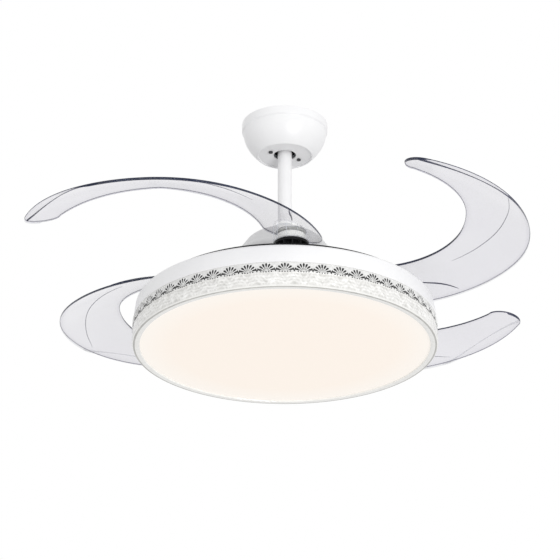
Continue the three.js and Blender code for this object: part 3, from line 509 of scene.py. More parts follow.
# ==== The hinges =================================================================================
# Each blade turns on a steel post with a round head. Its hub is a black moulded pinion and flange
# with a nylon drum on it, and a return spring inside. A ring and three screws clamp the blade.

hinge_circle = 195.0
first_hinge = 3.0
open_turn = 70.6
hinge_gap = 0.3
hub_bottom = -330.2
hub_top = -303.2
hub_bore = 8.5
hub_floor = 1.5
sleeve_radius = 10.4
spring_room = 15.9
drum_radius = 23.0
boss_radius = 28.0
boss_floor = 5.5
boss_bottom = hub_top + hinge_gap
pinion_height = 9.0
pinion_teeth = 12
ring_teeth = 84
gear_module = 2 * hinge_circle / (pinion_teeth + ring_teeth)
flange_height = 4.7
flange_overlap = 0.5
drum_low = hub_bottom + pinion_height + flange_height
clamp_radius = 23.6
clamp_low = boss_bottom + boss_floor + hinge_gap
clamp_top = clamp_low + 2.4
screw_circle = 20.0
screw_radius = 2.4
screw_height = 1.6
screw_sunk = 0.2
post_radius = 6.0
head_radius = 9.0


def joined(name, pieces):
    """The pieces made one, with each keeping its own finish."""
    select_only(*pieces)
    bpy.ops.object.join()
    whole = bpy.context.object
    whole.name = name
    return whole


def moved(piece, x, y, z=0.0, turn=0.0):
    """The piece's mesh, turned about the vertical and moved, in mm and degrees."""
    place = Matrix.Translation((x * mm, y * mm, z * mm))
    piece.data.transform(place @ Matrix.Rotation(math.radians(turn), 4, "Z"))
    return piece


def copied(piece, name):
    twin = bpy.data.objects.new(name, piece.data.copy())
    scene.collection.objects.link(twin)
    return twin


def round_point(radius, degrees):
    """A point on a circle, as its x and y."""
    turn = math.radians(degrees)
    return radius * math.cos(turn), radius * math.sin(turn)


def apply_modifier(piece, kind, **values):
    select_only(piece)
    step = piece.modifiers.new(kind.lower(), kind)
    for key, value in values.items():
        setattr(step, key, value)
    bpy.ops.object.modifier_apply(modifier=step.name)


def cut_out(piece, cutter):
    """Take the cutter's shape out of the piece, and the cutter out of the scene."""
    apply_modifier(piece, "BOOLEAN", object=cutter, operation="DIFFERENCE")
    bpy.data.objects.remove(cutter)


def pinion():
    """Teeth round a disc, raised to the pinion's height. In the open blade a tooth faces the axis."""
    tooth_reach = (-1.0, -1.0, -0.8, 0.0, 0.7, 0.7, 0.0, -0.8)
    tooth_middle = 4.5
    pitch = pinion_teeth * gear_module / 2
    count = pinion_teeth * len(tooth_reach)
    bpy.ops.object.select_all(action="DESELECT")
    bpy.ops.mesh.primitive_circle_add(
        vertices=count, radius=pitch * mm, fill_type="NGON", location=(0, 0, 0),
    )
    piece = bpy.context.object
    for i, vertex in enumerate(piece.data.vertices):
        radius = pitch + tooth_reach[i % len(tooth_reach)] * gear_module
        x, y = round_point(radius, 180 - open_turn + 360 * (i - tooth_middle) / count)
        vertex.co = (x * mm, y * mm, hub_bottom * mm)
    edit_all()
    bpy.ops.mesh.extrude_region_move(TRANSFORM_OT_translate={"value": (0, 0, pinion_height * mm)})
    close_up()
    return piece


flange_low = hub_bottom + pinion_height - flange_overlap
flange_outline = ring_section(hub_bore, boss_radius, flange_low, drum_low)
flange = turned("hub_flange", softened(flange_outline, {1: 0.5, 2: 0.9}), 96)
coat(flange, black_moulded)
spring_floor = drum_low + hub_floor
drum_outline = [
    (hub_bore, drum_low), (drum_radius, drum_low), (drum_radius, hub_top),
    (spring_room, hub_top), (spring_room, spring_floor), (sleeve_radius, spring_floor),
    (sleeve_radius, hub_top), (hub_bore, hub_top),
]
drum = turned("hub_drum", softened(drum_outline, {1: 0.6, 2: 1.0, 3: 0.4}), 96)
coat(drum, nylon)
teeth = pinion()
coat(teeth, black_moulded)
hub_piece = joined("hub", [teeth, flange, drum])

clamp_outline = ring_section(sleeve_radius, clamp_radius, clamp_low, clamp_top)
clamp_ring = turned("clamp_ring", softened(clamp_outline, {2: 0.6, 3: 0.6}), 96)
coat(clamp_ring, nylon)
clamp_parts = [clamp_ring]


def round_screw(x, y, low):
    """A round-headed screw with a cross cut in it, set upright at a place in mm."""
    crown = 0.7
    slot_size = (3.4, 0.7, 0.9)
    slot_middle = 0.6
    bpy.ops.object.select_all(action="DESELECT")
    bpy.ops.mesh.primitive_cylinder_add(
        vertices=24, radius=screw_radius * mm, depth=screw_height * mm, location=(0, 0, 0),
    )
    head = bpy.context.object
    bpy.ops.object.mode_set(mode="EDIT")
    shape = bmesh.from_edit_mesh(head.data)
    bpy.ops.mesh.select_all(action="DESELECT")
    shape.select_mode = {"EDGE"}
    for edge in shape.edges:
        edge.select_set(all(v.co.z > 0 for v in edge.verts))
    bmesh.update_edit_mesh(head.data)
    bpy.ops.mesh.bevel(offset=crown * mm, segments=3, affect="EDGES")
    bpy.ops.object.mode_set(mode="OBJECT")
    bpy.ops.mesh.primitive_cube_add(size=1.0, location=(0, 0, slot_middle * mm))
    slot = bpy.context.object
    slot.data.transform(Matrix.Diagonal((*(side * mm for side in slot_size), 1.0)))
    cross = copied(slot, "slot_across")
    cross.data.transform(Matrix.Rotation(math.pi / 2, 4, "Z"))
    cross.location = slot.location
    cut_out(head, slot)
    cut_out(head, cross)
    return moved(head, x, y, low + screw_height / 2)


for turn in (90, 210, 330):
    screw = round_screw(*round_point(screw_circle, turn), clamp_top - screw_sunk)
    coat(screw, dark_screw)
    clamp_parts.append(screw)
clamp_piece = joined("clamp", clamp_parts)

head_low = hub_top + hinge_gap
post_outline = [
    (0.0, carrier_bottom), (post_radius, carrier_bottom), (post_radius, head_low),
    (head_radius, head_low), (head_radius, head_low + 1.0), (head_radius - 1.4, head_low + 1.8),
    (0.0, head_low + 2.0),
]
post_piece = turned("post", softened(post_outline, {4: 0.4, 5: 0.6}), 48)
coat(post_piece, bright_steel)

# ==== The blades =================================================================================
# Four crescents of clear smoky plastic, moulded with a raised inner side and a round boss over the
# hub. Their cut edge and thin lines across each blade are painted dark, as painted shade.

blade_width = 96.0
blade_thickness = 2.5
blade_sweep = 152.5
tip_round = 6.0
tip_width = 56.0
narrow_from = 62.0
narrow_curve = 2.35
bulge = 5.5
bulge_at = 64.0
bulge_reach = 24.0
blade_base = carrier_top + 22.0
blade_rise = 32.0
rise_curve = 1.55
crown_root = 29.3
crown_middle = 33.0
crown_tip = 13.5
crown_middle_at = 80.0
boss_top = -270.0
boss_hole = 9.6
boss_rib_count = 10
pocket_radius = clamp_radius + hinge_gap
skirt_bottom = drum_low + hinge_gap
edge_depth = 3.6
inner_edge_loss = 1.2
outer_edge_gain = 1.1
thin_edge = 1.3
rib_leaves = 103.0
rib_meets = 149.0
wall_thickness = 0.5
line_sunk = 0.2
corner_sunk = 0.3
outline_points = 120
rim_band = 7.0
root_angle = math.degrees(math.asin(blade_width / 2 / hinge_circle))


def share_of(value):
    return min(max(value, 0.0), 1.0)


def blade_height(angle, radius):
    """Height of the top face, by the angle round the drum from the hinge and the radius from its axis."""
    edge = blade_rise * share_of(angle / blade_sweep) ** rise_curve
    to_middle = math.sin(math.pi / 2 * share_of(angle / crown_middle_at))
    to_tip = share_of((angle - crown_middle_at) / (blade_sweep - crown_middle_at))
    crown = crown_root + (crown_middle - crown_root) * to_middle + (crown_tip - crown_middle) * to_tip
    inward = share_of((hinge_circle + blade_width / 2 - radius) / blade_width)
    return blade_base + edge + crown * (1 - (1 - inward) ** 2)


def blade_span(angle):
    """Inner and outer radius of the blade at an angle from the hinge."""
    outer = hinge_circle + blade_width / 2 + bulge * math.exp(-(((angle - bulge_at) / bulge_reach) ** 2))
    round_from = blade_sweep - tip_round
    if angle < 0:
        away = hinge_circle * math.sin(math.radians(-angle))
        half = math.sqrt(max(0.0, (blade_width / 2) ** 2 - away**2))
        return hinge_circle - half, hinge_circle + half
    if angle > round_from:
        half = tip_width / 2 * math.sqrt(max(0.0, 1 - ((angle - round_from) / tip_round) ** 2))
        return outer - tip_width / 2 - half, outer - tip_width / 2 + half
    share = share_of((angle - narrow_from) / (round_from - narrow_from))
    return hinge_circle - blade_width / 2 + (blade_width - tip_width) * share**narrow_curve, outer


def blade_angle(along):
    """Angle from the hinge for a share along the blade, closer together at both round ends."""
    cap_share = 0.14
    straight_end = blade_sweep - tip_round
    if along < cap_share:
        return -root_angle * math.cos(math.pi / 2 * along / cap_share)
    if along > 1 - cap_share:
        return straight_end + tip_round * math.sin(math.pi / 2 * (along - 1 + cap_share) / cap_share)
    return straight_end * (along - cap_share) / (1 - 2 * cap_share)


def about_axis(x, y):
    """Angle from the hinge and radius from the fan's axis of a point given in mm about the hinge."""
    return math.degrees(-math.atan2(y, x + hinge_circle)), math.hypot(x + hinge_circle, y)


def on_blade(angle, radius, below=0.0):
    """A point on the folded blade, in mm about its hinge."""
    turn = math.radians(angle)
    height = blade_height(angle, radius) - below
    return Vector((radius * math.cos(turn) - hinge_circle, -radius * math.sin(turn), height))


def blade_sheet():
    bpy.ops.object.select_all(action="DESELECT")
    bpy.ops.mesh.primitive_grid_add(x_subdivisions=128, y_subdivisions=16, size=1.0, location=(0, 0, 0))
    sheet = bpy.context.object
    for vertex in sheet.data.vertices:
        angle = blade_angle(vertex.co.x + 0.5)
        inner, outer = blade_span(angle)
        vertex.co = on_blade(angle, inner + (outer - inner) * (vertex.co.y + 0.5)) * mm
    close_up()
    if sum(face.normal.z for face in sheet.data.polygons) < 0:
        sheet.data.flip_normals()
    apply_modifier(sheet, "SOLIDIFY", thickness=blade_thickness * mm, offset=-1.0, use_even_offset=True)
    bpy.ops.mesh.primitive_cylinder_add(
        vertices=96, radius=pocket_radius * mm, depth=0.1, location=(0, 0, (boss_top - 20.0) * mm),
    )
    cut_out(sheet, bpy.context.object)
    select_only(sheet)
    bpy.ops.object.shade_smooth_by_angle(angle=math.radians(40))
    return sheet


def blade_boss():
    drum_room = drum_radius + hinge_gap
    outline = [
        (boss_hole, boss_bottom), (drum_room, boss_bottom), (drum_room, skirt_bottom),
        (boss_radius, skirt_bottom), (boss_radius, boss_top), (pocket_radius, boss_top),
        (pocket_radius, boss_bottom + boss_floor), (boss_hole, boss_bottom + boss_floor),
    ]
    boss = turned("boss", softened(outline, {2: 0.8, 3: 1.0}), 96)
    for vertex in boss.data.vertices:
        if vertex.co.z > (boss_top - 1) * mm:
            height = blade_height(*about_axis(vertex.co.x / mm, vertex.co.y / mm))
            vertex.co.z = (height - blade_thickness / 2) * mm
    return boss


def bead(name, points, radii, closed):
    """A fine rounded line along points in mm, with a radius at each."""
    bpy.ops.object.select_all(action="DESELECT")
    bpy.ops.curve.primitive_nurbs_path_add(location=(0, 0, 0))
    line = bpy.context.object
    line.name = name
    line.data.splines.clear()
    spline = line.data.splines.new("POLY")
    spline.points.add(len(points) - 1)
    for knot, point, radius in zip(spline.points, points, radii):
        knot.co = (*(point * mm), 1.0)
        knot.radius = radius
    spline.use_cyclic_u = closed
    line.data.dimensions = "3D"
    line.data.bevel_depth = mm
    line.data.bevel_resolution = 2
    line.data.use_fill_caps = not closed
    bpy.ops.object.convert(target="MESH")
    tube = bpy.context.object
    bpy.ops.object.shade_smooth()
    return tube


def outline_stops(count):
    """Angle, radius and side all round a blade: out along its outer side and back along the inner."""
    out = [(blade_angle(i / (count - 1)), 1) for i in range(count)]
    back = [(blade_angle(1 - i / (count - 1)), 0) for i in range(1, count - 1)]
    return [(angle, blade_span(angle)[side], side) for angle, side in out + back]


def edge_depth_at(angle, side):
    """Depth of the edge: deepest past the middle and at the tip, thin where the rib leaves it."""
    inner_thins_from = 60.0
    outer_deepens_from = 50.0
    if side == 0:
        return edge_depth - inner_edge_loss * share_of((angle - inner_thins_from) / 15.0)
    depth = edge_depth + outer_edge_gain * share_of((angle - outer_deepens_from) / 12.0)
    thin = share_of((angle - rib_leaves) / 6.0) * share_of((rib_meets - angle) / 4.0)
    return depth - (depth - thin_edge) * thin


def upright_wall(name, tops, depths, closed, probe):
    """A thin upright wall hanging from a line of points. Its outward face is painted dark, as painted shade,
    and the rest clear.
    """
    count = len(tops)
    cells = count if closed else count - 1
    bpy.ops.object.select_all(action="DESELECT")
    bpy.ops.mesh.primitive_grid_add(x_subdivisions=cells, y_subdivisions=1, size=1.0, location=(0, 0, 0))
    wall = bpy.context.object
    wall.name = name
    for vertex in wall.data.vertices:
        i = round((vertex.co.x + 0.5) * cells) % count
        vertex.co = (tops[i] - Vector((0, 0, depths[i] * (0.5 - vertex.co.y)))) * mm
    close_up()
    face = wall.data.polygons[probe]
    if face.normal.dot(face.center + Vector((hinge_circle * mm, 0, 0))) < 0:
        wall.data.flip_normals()
    coat(wall, dark_edge, edge_inside)
    apply_modifier(
        wall, "SOLIDIFY", thickness=wall_thickness * mm, offset=-1.0,
        material_offset=1, material_offset_rim=1,
    )
    select_only(wall)
    bpy.ops.object.shade_smooth_by_angle(angle=math.radians(50))
    return wall


def edge_wall():
    """The sheet's edge all round, reaching a little below the sheet, with its outward face painted dark as
    painted shade.
    """
    stops = outline_stops(outline_points)
    tops = [on_blade(angle, radius + (side - 0.5) * wall_thickness) for angle, radius, side in stops]
    depths = [edge_depth_at(angle, side) for angle, radius, side in stops]
    return upright_wall("edge_wall", tops, depths, True, outline_points // 2)


def swell(i, count, power):
    """0 at both ends of a line of points and 1 at its middle, rising by a power."""
    return max(0.0, math.sin(math.pi * i / (count - 1))) ** power


def leaving_rib():
    """A rib that leaves the outer edge past the middle, crosses the sheet and meets the edge at the tip. Its
    outward face is painted dark, as painted shade along the line where the sheet turns edge-on.
    """
    leaving = [
        (100, 243.9), (104, 242), (109, 237), (116, 230.5),
        (126, 225), (136, 225.5), (144, 231), (rib_meets, 238),
    ]
    rib_depth = edge_depth + 0.6
    middle_loss = 2.6
    line = smooth_between(leaving, 8)
    tops = [on_blade(angle, radius, line_sunk) for angle, radius in line]
    depths = [rib_depth - middle_loss * swell(i, len(line), 1.5) for i in range(len(line))]
    return upright_wall("leaving_rib", tops, depths, False, len(line) // 2)


def edge_line():
    """The edge's fine upper corner, all round."""
    stops = outline_stops(outline_points)
    points = [on_blade(angle, radius, corner_sunk) for angle, radius, side in stops]
    return bead("edge_line", points, [0.42] * len(points), True)


def boss_ribs():
    """Fine upright ribs moulded round the boss, under the sheet."""
    ribs = []
    for k in range(boss_rib_count):
        x, y = round_point(boss_radius, 360 * (k + 0.5) / boss_rib_count)
        top = blade_height(*about_axis(x, y)) - blade_thickness
        heights = (skirt_bottom + 1.0, (skirt_bottom + top) / 2, top)
        points = [Vector((x, y, height)) for height in heights]
        ribs.append(bead("boss_rib", points, [0.35, 0.45, 0.3], False))
    return ribs


def crease(name, stops, thickness):
    """A thin line laid on the blade through angle and radius pairs, fading out at both ends. Its dark finish
    is painted shade.
    """
    faintest = 0.08
    line = smooth_between(stops, 10)
    points = [on_blade(angle, radius, line_sunk) for angle, radius in line]
    radii = [faintest + thickness * swell(i, len(line), 0.6) for i in range(len(line))]
    return bead(name, points, radii, False)


def clear_moulding(name, colour, middle, edge):
    """Clear smoky plastic: nearly see-through, with a polished face, and painted a little denser close to
    the edge as painted shade.
    """
    made = new_material(name)
    shader = shader_of(made)
    links = made.node_tree.links
    shader.inputs["Base Color"].default_value = (*colour, 1.0)
    shader.inputs["Roughness"].default_value = 0.06
    shader.inputs["IOR"].default_value = 1.49
    rim = made.node_tree.nodes.new("ShaderNodeAttribute")
    rim.attribute_name = "rim"
    grain = grained(made, 26.0, 7.0)
    patchy = made.node_tree.nodes.new("ShaderNodeMath")
    patchy.operation = "MULTIPLY_ADD"
    patchy.inputs[1].default_value = 0.03
    links.new(grain.outputs["Tone"], patchy.inputs[0])
    links.new(between(made, rim.outputs["Fac"], middle, edge), patchy.inputs[2])
    links.new(patchy.outputs[0], shader.inputs["Alpha"])
    links.new(bumpy(made, grain, 0.25, 0.4), shader.inputs["Normal"])
    return made


def polished_edge_finish(name, colour, dense):
    """The look of a clear plastic's edge, where light from the sides is lost inside the sheet."""
    made = finish(name, colour, tuple(2.0 * c for c in colour), 0.1, 0.2, 200.0, 30.0, 0.01, sheen=0.25)
    shader_of(made).inputs["Alpha"].default_value = dense
    return made


def seen_from_outside(made, front, back):
    """The finish shows at one strength from the front and at another from behind."""
    face = made.node_tree.nodes.new("ShaderNodeNewGeometry")
    strength = between(made, face.outputs["Backfacing"], front, back)
    made.node_tree.links.new(strength, shader_of(made).inputs["Alpha"])


clear_plastic = clear_moulding("clear_smoky_plastic", (0.345, 0.325, 0.44), 0.155, 0.24)
# The boss is painted a pale grey, as painted reflection of light caught in the thick clear plastic.
boss_painted_reflection = clear_moulding("clear_boss_plastic", (0.66, 0.67, 0.70), 0.06, 0.10)
lost_light = (0.006, 0.010, 0.028)
# The near-black edge and its faint inside are painted shade along the blade's edge.
dark_edge = polished_edge_finish("dark_edge", lost_light, 0.96)
seen_from_outside(dark_edge, 0.95, 0.14)
edge_inside = polished_edge_finish("edge_inside", (0.30, 0.31, 0.38), 0.12)
dark_stroke = polished_edge_finish("dark_stroke", lost_light, 0.95)
# The boss ribs' pale grey is painted reflection: the streaks of light in the thick clear boss.
rib_painted_reflection = polished_edge_finish("rib_painted_reflection", (0.50, 0.52, 0.56), 0.40)
grey_painted_line = polished_edge_finish("grey_painted_line", (0.07, 0.075, 0.10), 0.70)
faint_painted_line = polished_edge_finish("faint_painted_line", (0.20, 0.21, 0.26), 0.45)

# Two fine rings round the boss, painted faint grey as painted shade along its edges.
boss_lines = []
line_steps = 48
for radius, height in ((boss_radius, skirt_bottom + 0.5), (pocket_radius, boss_bottom + boss_floor)):
    circle = [Vector((*round_point(radius, 360 * k / line_steps), height)) for k in range(line_steps)]
    boss_lines.append(bead("boss_line", circle, [0.35] * line_steps, True))
sheet = blade_sheet()
coat(sheet, clear_plastic)
boss = blade_boss()
coat(boss, boss_painted_reflection)
body = joined("blade_body", [sheet, boss])
# The lines laid on the blade are painted shade: black strokes along its edge and root, and a grey line along
# the ridge.
rim_line = edge_line()
coat(rim_line, dark_stroke)
root_ridge = crease("root_ridge", [(7, 205), (10.5, 210), (15.4, 217), (19.4, 226), (22.6, 237)], 1.15)
coat(root_ridge, dark_stroke)
ridge = crease("ridge", [(30, 184), (44, 188.5), (58.7, 195), (80, 209), (97, 226), (104.5, 236)], 0.5)
coat(ridge, grey_painted_line)
faint_lines = joined("faint_lines", boss_lines)
coat(faint_lines, faint_painted_line)
ribs = joined("ribs", boss_ribs())
coat(ribs, rib_painted_reflection)
blade_piece = joined(
    "blade", [body, edge_wall(), leaving_rib(), rim_line, root_ridge, ridge, faint_lines, ribs],
)
# The rim share rises towards each blade's edge, where the clear plastic paints shade.
rim = blade_piece.data.attributes.new("rim", "FLOAT", "POINT")
for i, vertex in enumerate(blade_piece.data.vertices):
    angle, radius = about_axis(vertex.co.x / mm, vertex.co.y / mm)
    inner, outer = blade_span(angle)
    rim.data[i].value = share_of(1 - min(radius - inner, outer - radius) / rim_band)

for i in range(blade_count):
    number = i + 1
    station = first_hinge - 360 / blade_count * i
    x, y = round_point(hinge_circle, station)
    post = moved(copied(post_piece, f"hinge_pin_{number}"), x, y, 0.0, station)
    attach(post, "rotor")
    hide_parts(f"hinge_post_{number}")
    moving = (
        (hub_piece, "hub_of_blade", "blade_hub", "black_plastic"),
        (clamp_piece, "clamp_of_blade", "blade_retainer", "white_plastic"),
        (blade_piece, "clear_blade", "blade", "clear_blade"),
    )
    for model, label, node, record_slot in moving:
        piece = moved(copied(model, f"{label}_{number}"), x, y, 0.0, station + open_turn)
        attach(piece, f"blade_arm_{number}")
        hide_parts(f"{node}_{number}")
    recoat(f"hinge_bush_{number}", copper_wire)
    recoat(f"return_spring_{number}", bright_steel)
for model in (post_piece, hub_piece, clamp_piece, blade_piece):
    bpy.data.objects.remove(model)

# ==== The lamp pan ===============================================================================
# A spun aluminium pan in the same white coat, with a rounded shoulder. It is fixed to the still
# shaft by a flange and nut. Inside it are the driver, the motor controller and the lamp board.

pan_top = -340.5
pan_bottom = -373.0
pan_top_radius = 245.0
pan_bottom_radius = 249.0
pan_hole = 9.3
pan_wall = 1.5
pan_shoulder = 6.0
skirt_radius = 240.5
skirt_foot = pan_bottom - 11.5
pan_outline = [
    (pan_hole, pan_top), (pan_top_radius, pan_top), (pan_bottom_radius, pan_bottom),
    (skirt_radius, pan_bottom), (skirt_radius, skirt_foot), (skirt_radius - pan_wall, skirt_foot),
    (skirt_radius - pan_wall, pan_bottom + pan_wall), (pan_bottom_radius - pan_wall, pan_bottom + pan_wall),
    (pan_top_radius - pan_shoulder - 1.0, pan_top - pan_wall), (pan_hole, pan_top - pan_wall),
]
pan = turned("lamp_housing", softened(pan_outline, {1: pan_shoulder, 2: 0.6}), 256)
coat(pan, white_coat)
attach(pan, "pendant")
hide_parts("lamp_pan")
board_white = finish(
    "board_white", (0.80, 0.79, 0.72), (0.74, 0.73, 0.66), 0.35, 0.5, 800.0, 60.0, 0.02,
)
recoat("led_board", board_white)
recoat("led_tray", galvanised)
recoat("led_driver", moulded_white)
recoat("motor_controller", moulded_white)

# ==== The crystal ring ===========================================================================
# An acrylic ring, frosted inside and moulded like cut crystal. Round its top runs a traditional
# border of fan-shaped shells with painted shadow in its hollows. Below it, scallops are cut down to a plain
# lip, painted greyer down in the cuts.

shade_top = -373.3
shade_bottom = -414.4
shade_radius = 250.0
ring_bore = 241.2
cut_radius = 249.5
cut_bottom = shade_bottom + 2.8
lip_inner = 237.2
lip_height = 2.0
lip_ledge = shade_bottom + 2.7
shell_count = 54
shell_pitch = 2 * math.pi * shade_radius / shell_count
border_top = -374.6
border_bottom = -390.6
cut_top = border_bottom - 0.4
ground_radius = 248.9
wall_steps = 16 * shell_count
wall_rows = 18

ring_outline = [
    (ring_bore, shade_top), (248.6, shade_top), (249.4, shade_top - 0.8), (249.6, border_top),
    (ground_radius, border_top - 0.4), (ground_radius, border_bottom + 0.4), (249.7, border_bottom),
]
for i in range(wall_rows + 1):
    ring_outline.append((cut_radius, cut_top + (cut_bottom - cut_top) * i / wall_rows))
ring_outline += [
    (249.2, shade_bottom + 1.6), (248.2, shade_bottom + 0.5), (247.2, shade_bottom), (245.2, shade_bottom),
    (238.6, shade_bottom), (237.6, shade_bottom + 0.3), (lip_inner, shade_bottom + 1.2),
    (lip_inner, lip_ledge), (ring_bore, lip_ledge),
]
ring = turned("cut_ring", ring_outline, wall_steps, 22)


def cut_depth(turn, height):
    """How far the cut wall stands out, in mm: scallops hanging under the shells and rising from the lip."""
    arc_radii = (7.5, 13.0, 18.5)
    arc_width = 1.2
    arc_height = 0.55
    ray_height = 0.15
    uneven_height = 0.55
    sunk = 0.30
    across = (turn / (2 * math.pi) * shell_count + 0.5) % 1.0 - 0.5
    side = across * shell_pitch
    down = border_bottom - height
    up = height - shade_bottom - lip_height
    hanging = math.hypot(side, down * 1.05)
    rising = math.hypot(abs(side) - shell_pitch / 2, up * 1.1)
    arcs = 0.0
    for arc_radius in arc_radii:
        for reach in (hanging, rising):
            arcs += math.exp(-(((reach - arc_radius) / arc_width) ** 2))
    rays = math.cos(16 * math.atan2(side, down + 2.0)) * math.exp(-((hanging / 9.0) ** 4))
    spot = Vector((shade_radius * math.cos(turn), shade_radius * math.sin(turn), height))
    uneven = noise.noise(spot * 0.15) + 0.8 * noise.noise(spot * 0.36)
    fade = share_of((down - 0.4) / 1.5) * share_of(up / 2.5)
    return fade * (arc_height * arcs + ray_height * rays + uneven_height * uneven - sunk)


# Each point of the ring gets a share for the cut's painted shade: lower down in the grooves, which the
# finish paints greyer.
plain_share = 0.75
groove_shade_share = ring.data.attributes.new("cut", "FLOAT", "POINT")
for i, vertex in enumerate(ring.data.vertices):
    radius = math.hypot(vertex.co.x, vertex.co.y) / mm
    height = vertex.co.z / mm
    groove_shade_share.data[i].value = plain_share
    if abs(radius - cut_radius) < 0.02 and shade_bottom + lip_height < height < border_bottom - 0.5:
        turn = math.atan2(vertex.co.x, -vertex.co.y)
        depth = cut_depth(turn, height)
        groove_shade_share.data[i].value = share_of(0.55 + 0.9 * depth)
        scale = (radius + depth) / radius
        vertex.co.x *= scale
        vertex.co.y *= scale


def petal(lean, near, far, width, rise, side=0.0, height=border_bottom + 1.9):
    """One ray of a shell: a raised leaf, wider at its far end, leaning by an angle from upright."""
    points = 10
    bpy.ops.object.select_all(action="DESELECT")
    bpy.ops.mesh.primitive_circle_add(vertices=points, radius=1.0, fill_type="NGON", location=(0, 0, 0))
    leaf = bpy.context.object
    cos_lean = math.cos(math.radians(lean))
    sin_lean = math.sin(math.radians(lean))
    for i, vertex in enumerate(leaf.data.vertices):
        turn = 2 * math.pi * i / points
        share = (1 - math.cos(turn)) / 2
        along = near + (far - near) * share
        out = width / 2 * math.sin(turn) * (0.45 + 0.75 * share)
        s = side + along * sin_lean + out * cos_lean
        z = height + along * cos_lean - out * sin_lean
        vertex.co = (s * mm, -ground_radius * mm, z * mm)
    edit_all()
    bpy.ops.mesh.extrude_region_move(TRANSFORM_OT_translate={"value": (0, -rise * 0.6 * mm, 0)})
    bpy.ops.mesh.inset(thickness=0.16 * width * mm, depth=0.0)
    bpy.ops.transform.translate(value=(0, -rise * 0.4 * mm, 0))
    close_up()
    return leaf


def pearl(side, height, radius):
    bpy.ops.mesh.primitive_ico_sphere_add(subdivisions=1, radius=radius * mm, location=(0, 0, 0))
    drop = bpy.context.object
    for vertex in drop.data.vertices:
        vertex.co += Vector((side, -ground_radius - 0.2, height)) * mm
    return drop


# The shells' hollows are painted shadow: black rays and pearls, and grey rays as painted half-shade.
cut_shadow = finish(
    "cut_shadow", (0.010, 0.010, 0.011), (0.06, 0.06, 0.06), 0.15, 0.3, 500.0, 330.0, 0.02, sheen=0.3,
)
cut_painted_half_shade = finish(
    "cut_painted_half_shade", (0.16, 0.16, 0.16), (0.36, 0.36, 0.35), 0.15, 0.3, 500.0, 260.0, 0.02, sheen=0.3,
)
cut_white = finish(
    "cut_white", (0.90, 0.90, 0.89), (0.84, 0.84, 0.83), 0.08, 0.16, 300.0, 200.0, 0.02,
)
shell_leans = (-75, -50, -25, 0, 25, 50, 75)
leaf_side = shell_pitch / 2
leaf_root = border_bottom + 0.6
pearl_step = shell_pitch / 7.0
pearl_low = border_bottom + 0.4
dark_rays = [petal(lean, near=6.2, far=13.6, width=3.5, rise=0.35) for lean in shell_leans]
dark_rays += [petal(lean, 0.2, 7.5, 2.2, 0.35, leaf_side, leaf_root) for lean in (-16, 16)]
dark_rays += [pearl(k * pearl_step, pearl_low + 0.22 * k * k, radius=1.25) for k in range(-2, 3)]
grey_rays = [petal(lean, near=2.6, far=7.6, width=1.2, rise=0.3) for lean in shell_leans]
white_rays = [petal(lean + 12.5, near=1.0, far=14.4, width=1.25, rise=0.9) for lean in shell_leans[:-1]]
white_rays += [petal(lean, near=0.0, far=14.0, width=1.1, rise=0.9) for lean in (-89, 89)]
shell_parts = []
for name, rays, made in (
    ("white_rays", white_rays, cut_white),
    ("dark_rays", dark_rays, cut_shadow),
    ("grey_rays", grey_rays, cut_painted_half_shade),
):
    part = joined(name, rays)
    coat(part, made)
    shell_parts.append(part)
shells = joined("shell_border", shell_parts)
for vertex in shells.data.vertices:
    turn = vertex.co.x / (shade_radius * mm)
    radius = -vertex.co.y
    vertex.co.x = radius * math.sin(turn)
    vertex.co.y = -radius * math.cos(turn)
edit_all()
bpy.ops.mesh.spin(
    steps=shell_count - 1, dupli=True, angle=2 * math.pi * (shell_count - 1) / shell_count,
    center=(0, 0, 0), axis=(0, 0, 1),
)
bpy.ops.object.mode_set(mode="OBJECT")


def cut_acrylic_finish():
    """Frosted white acrylic, painted greyer down in the cut and left brighter on its ridges, as painted
    shade in the grooves.
    """
    made = finish(
        "cut_acrylic", (0.91, 0.905, 0.89), (0.80, 0.795, 0.775), 0.05, 0.12, 300.0, 150.0, 0.05,
    )
    links = made.node_tree.links
    shader = shader_of(made)
    shader.inputs["Coat Weight"].default_value = 0.5
    shader.inputs["Emission Color"].default_value = (1.0, 0.985, 0.95, 1.0)
    shader.inputs["Emission Strength"].default_value = 0.04
    own = shader.inputs["Base Color"].links[0].from_socket
    ridge = made.node_tree.nodes.new("ShaderNodeAttribute")
    ridge.attribute_name = "cut"
    deep = made.node_tree.nodes.new("ShaderNodeMix")
    deep.data_type = "RGBA"
    deep.inputs["A"].default_value = (0.55, 0.545, 0.52, 1.0)
    links.new(ridge.outputs["Fac"], deep.inputs["Factor"])
    links.new(own, deep.inputs["B"])
    links.new(deep.outputs["Result"], shader.inputs["Base Color"])
    return made


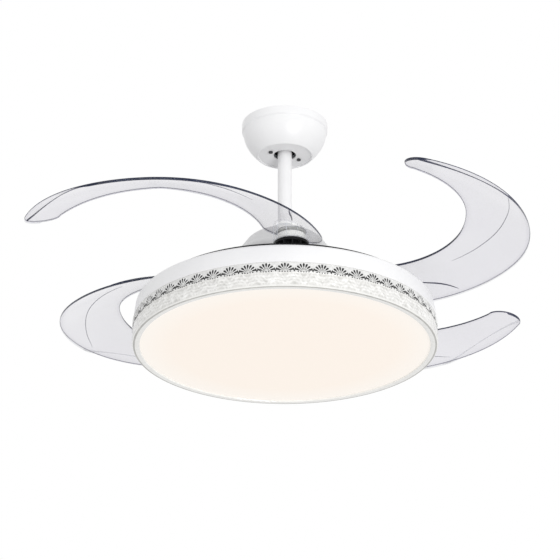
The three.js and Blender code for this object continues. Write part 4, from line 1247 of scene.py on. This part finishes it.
cut_acrylic = cut_acrylic_finish()
# The border's recessed ground is painted a shade darker than the ring, as painted shade.
border_ground_painted_shade = finish(
    "border_ground_painted_shade", (0.82, 0.82, 0.81), (0.66, 0.66, 0.65), 0.15, 0.3, 500.0, 200.0, 0.02,
)
lip_shadow = finish(
    "lip_shadow", (0.40, 0.395, 0.38), (0.52, 0.515, 0.49), 0.2, 0.3, 500.0, 60.0, 0.02,
)
coat(ring, cut_acrylic, border_ground_painted_shade, lip_shadow)
outer_side = 248.0
lip_line_inner = 245.0
lip_line_outer = 248.4
# Faces of the border's ground take its painted shade, and a ring under the lip takes the painted shadow
# line.
for face in ring.data.polygons:
    radius = math.hypot(face.center.x, face.center.y) / mm
    height = face.center.z / mm
    if radius > outer_side and border_bottom - 0.1 < height < border_top + 0.1:
        face.material_index = 1
    if lip_line_inner < radius < lip_line_outer and height < shade_bottom + 0.3:
        face.material_index = 2
crystal = joined("crystal_ring_cut", [ring, shells])
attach(crystal, "shade")
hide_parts("crystal_ring")

# ==== The diffuser ===============================================================================
# A flat disc of milky acrylic on the ring's lip, lit warm from behind, a little whiter and
# brighter towards its rim.

diffuser_low = -411.4
diffuser_top = diffuser_low + 2.5
diffuser_radius = 240.9
glow_radius = 238.0
disc_outline = [
    (0.0, diffuser_low), (80.0, diffuser_low), (160.0, diffuser_low), (diffuser_radius, diffuser_low),
    (diffuser_radius, diffuser_top), (0.0, diffuser_top),
]
disc = turned("lit_disc", disc_outline, 192)
milky = new_material("milky_lit")
shader = shader_of(milky)
links = milky.node_tree.links
place = milky.node_tree.nodes.new("ShaderNodeTexCoord")
apart = milky.node_tree.nodes.new("ShaderNodeVectorMath")
apart.operation = "LENGTH"
flat = milky.node_tree.nodes.new("ShaderNodeMapping")
flat.inputs["Scale"].default_value = (1.0, 1.0, 0.0)
links.new(place.outputs["Object"], flat.inputs["Vector"])
links.new(flat.outputs["Vector"], apart.inputs[0])
glow = milky.node_tree.nodes.new("ShaderNodeValToRGB")
glow.color_ramp.elements[0].color = (1.0, 0.925, 0.85, 1.0)
glow.color_ramp.elements[1].color = (1.0, 0.985, 0.95, 1.0)
middle_stop = glow.color_ramp.elements.new(0.78)
middle_stop.color = (1.0, 0.93, 0.86, 1.0)
reach = milky.node_tree.nodes.new("ShaderNodeMapRange")
reach.inputs["From Max"].default_value = glow_radius * mm
links.new(apart.outputs["Value"], reach.inputs["Value"])
links.new(reach.outputs["Result"], glow.inputs["Fac"])
links.new(glow.outputs["Color"], shader.inputs["Emission Color"])
shader.inputs["Emission Strength"].default_value = 0.60
shader.inputs["Base Color"].default_value = (0.36, 0.315, 0.275, 1.0)
shader.inputs["Roughness"].default_value = 0.55
links.new(bumpy(milky, grained(milky, 1200.0, 9.0), 0.3, 0.03), shader.inputs["Normal"])
coat(disc, milky)
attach(disc, "shade")
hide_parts("diffuser")

# ==== The last update ============================================================================
# The view layer is brought up to date once more.

bpy.context.view_layer.update()
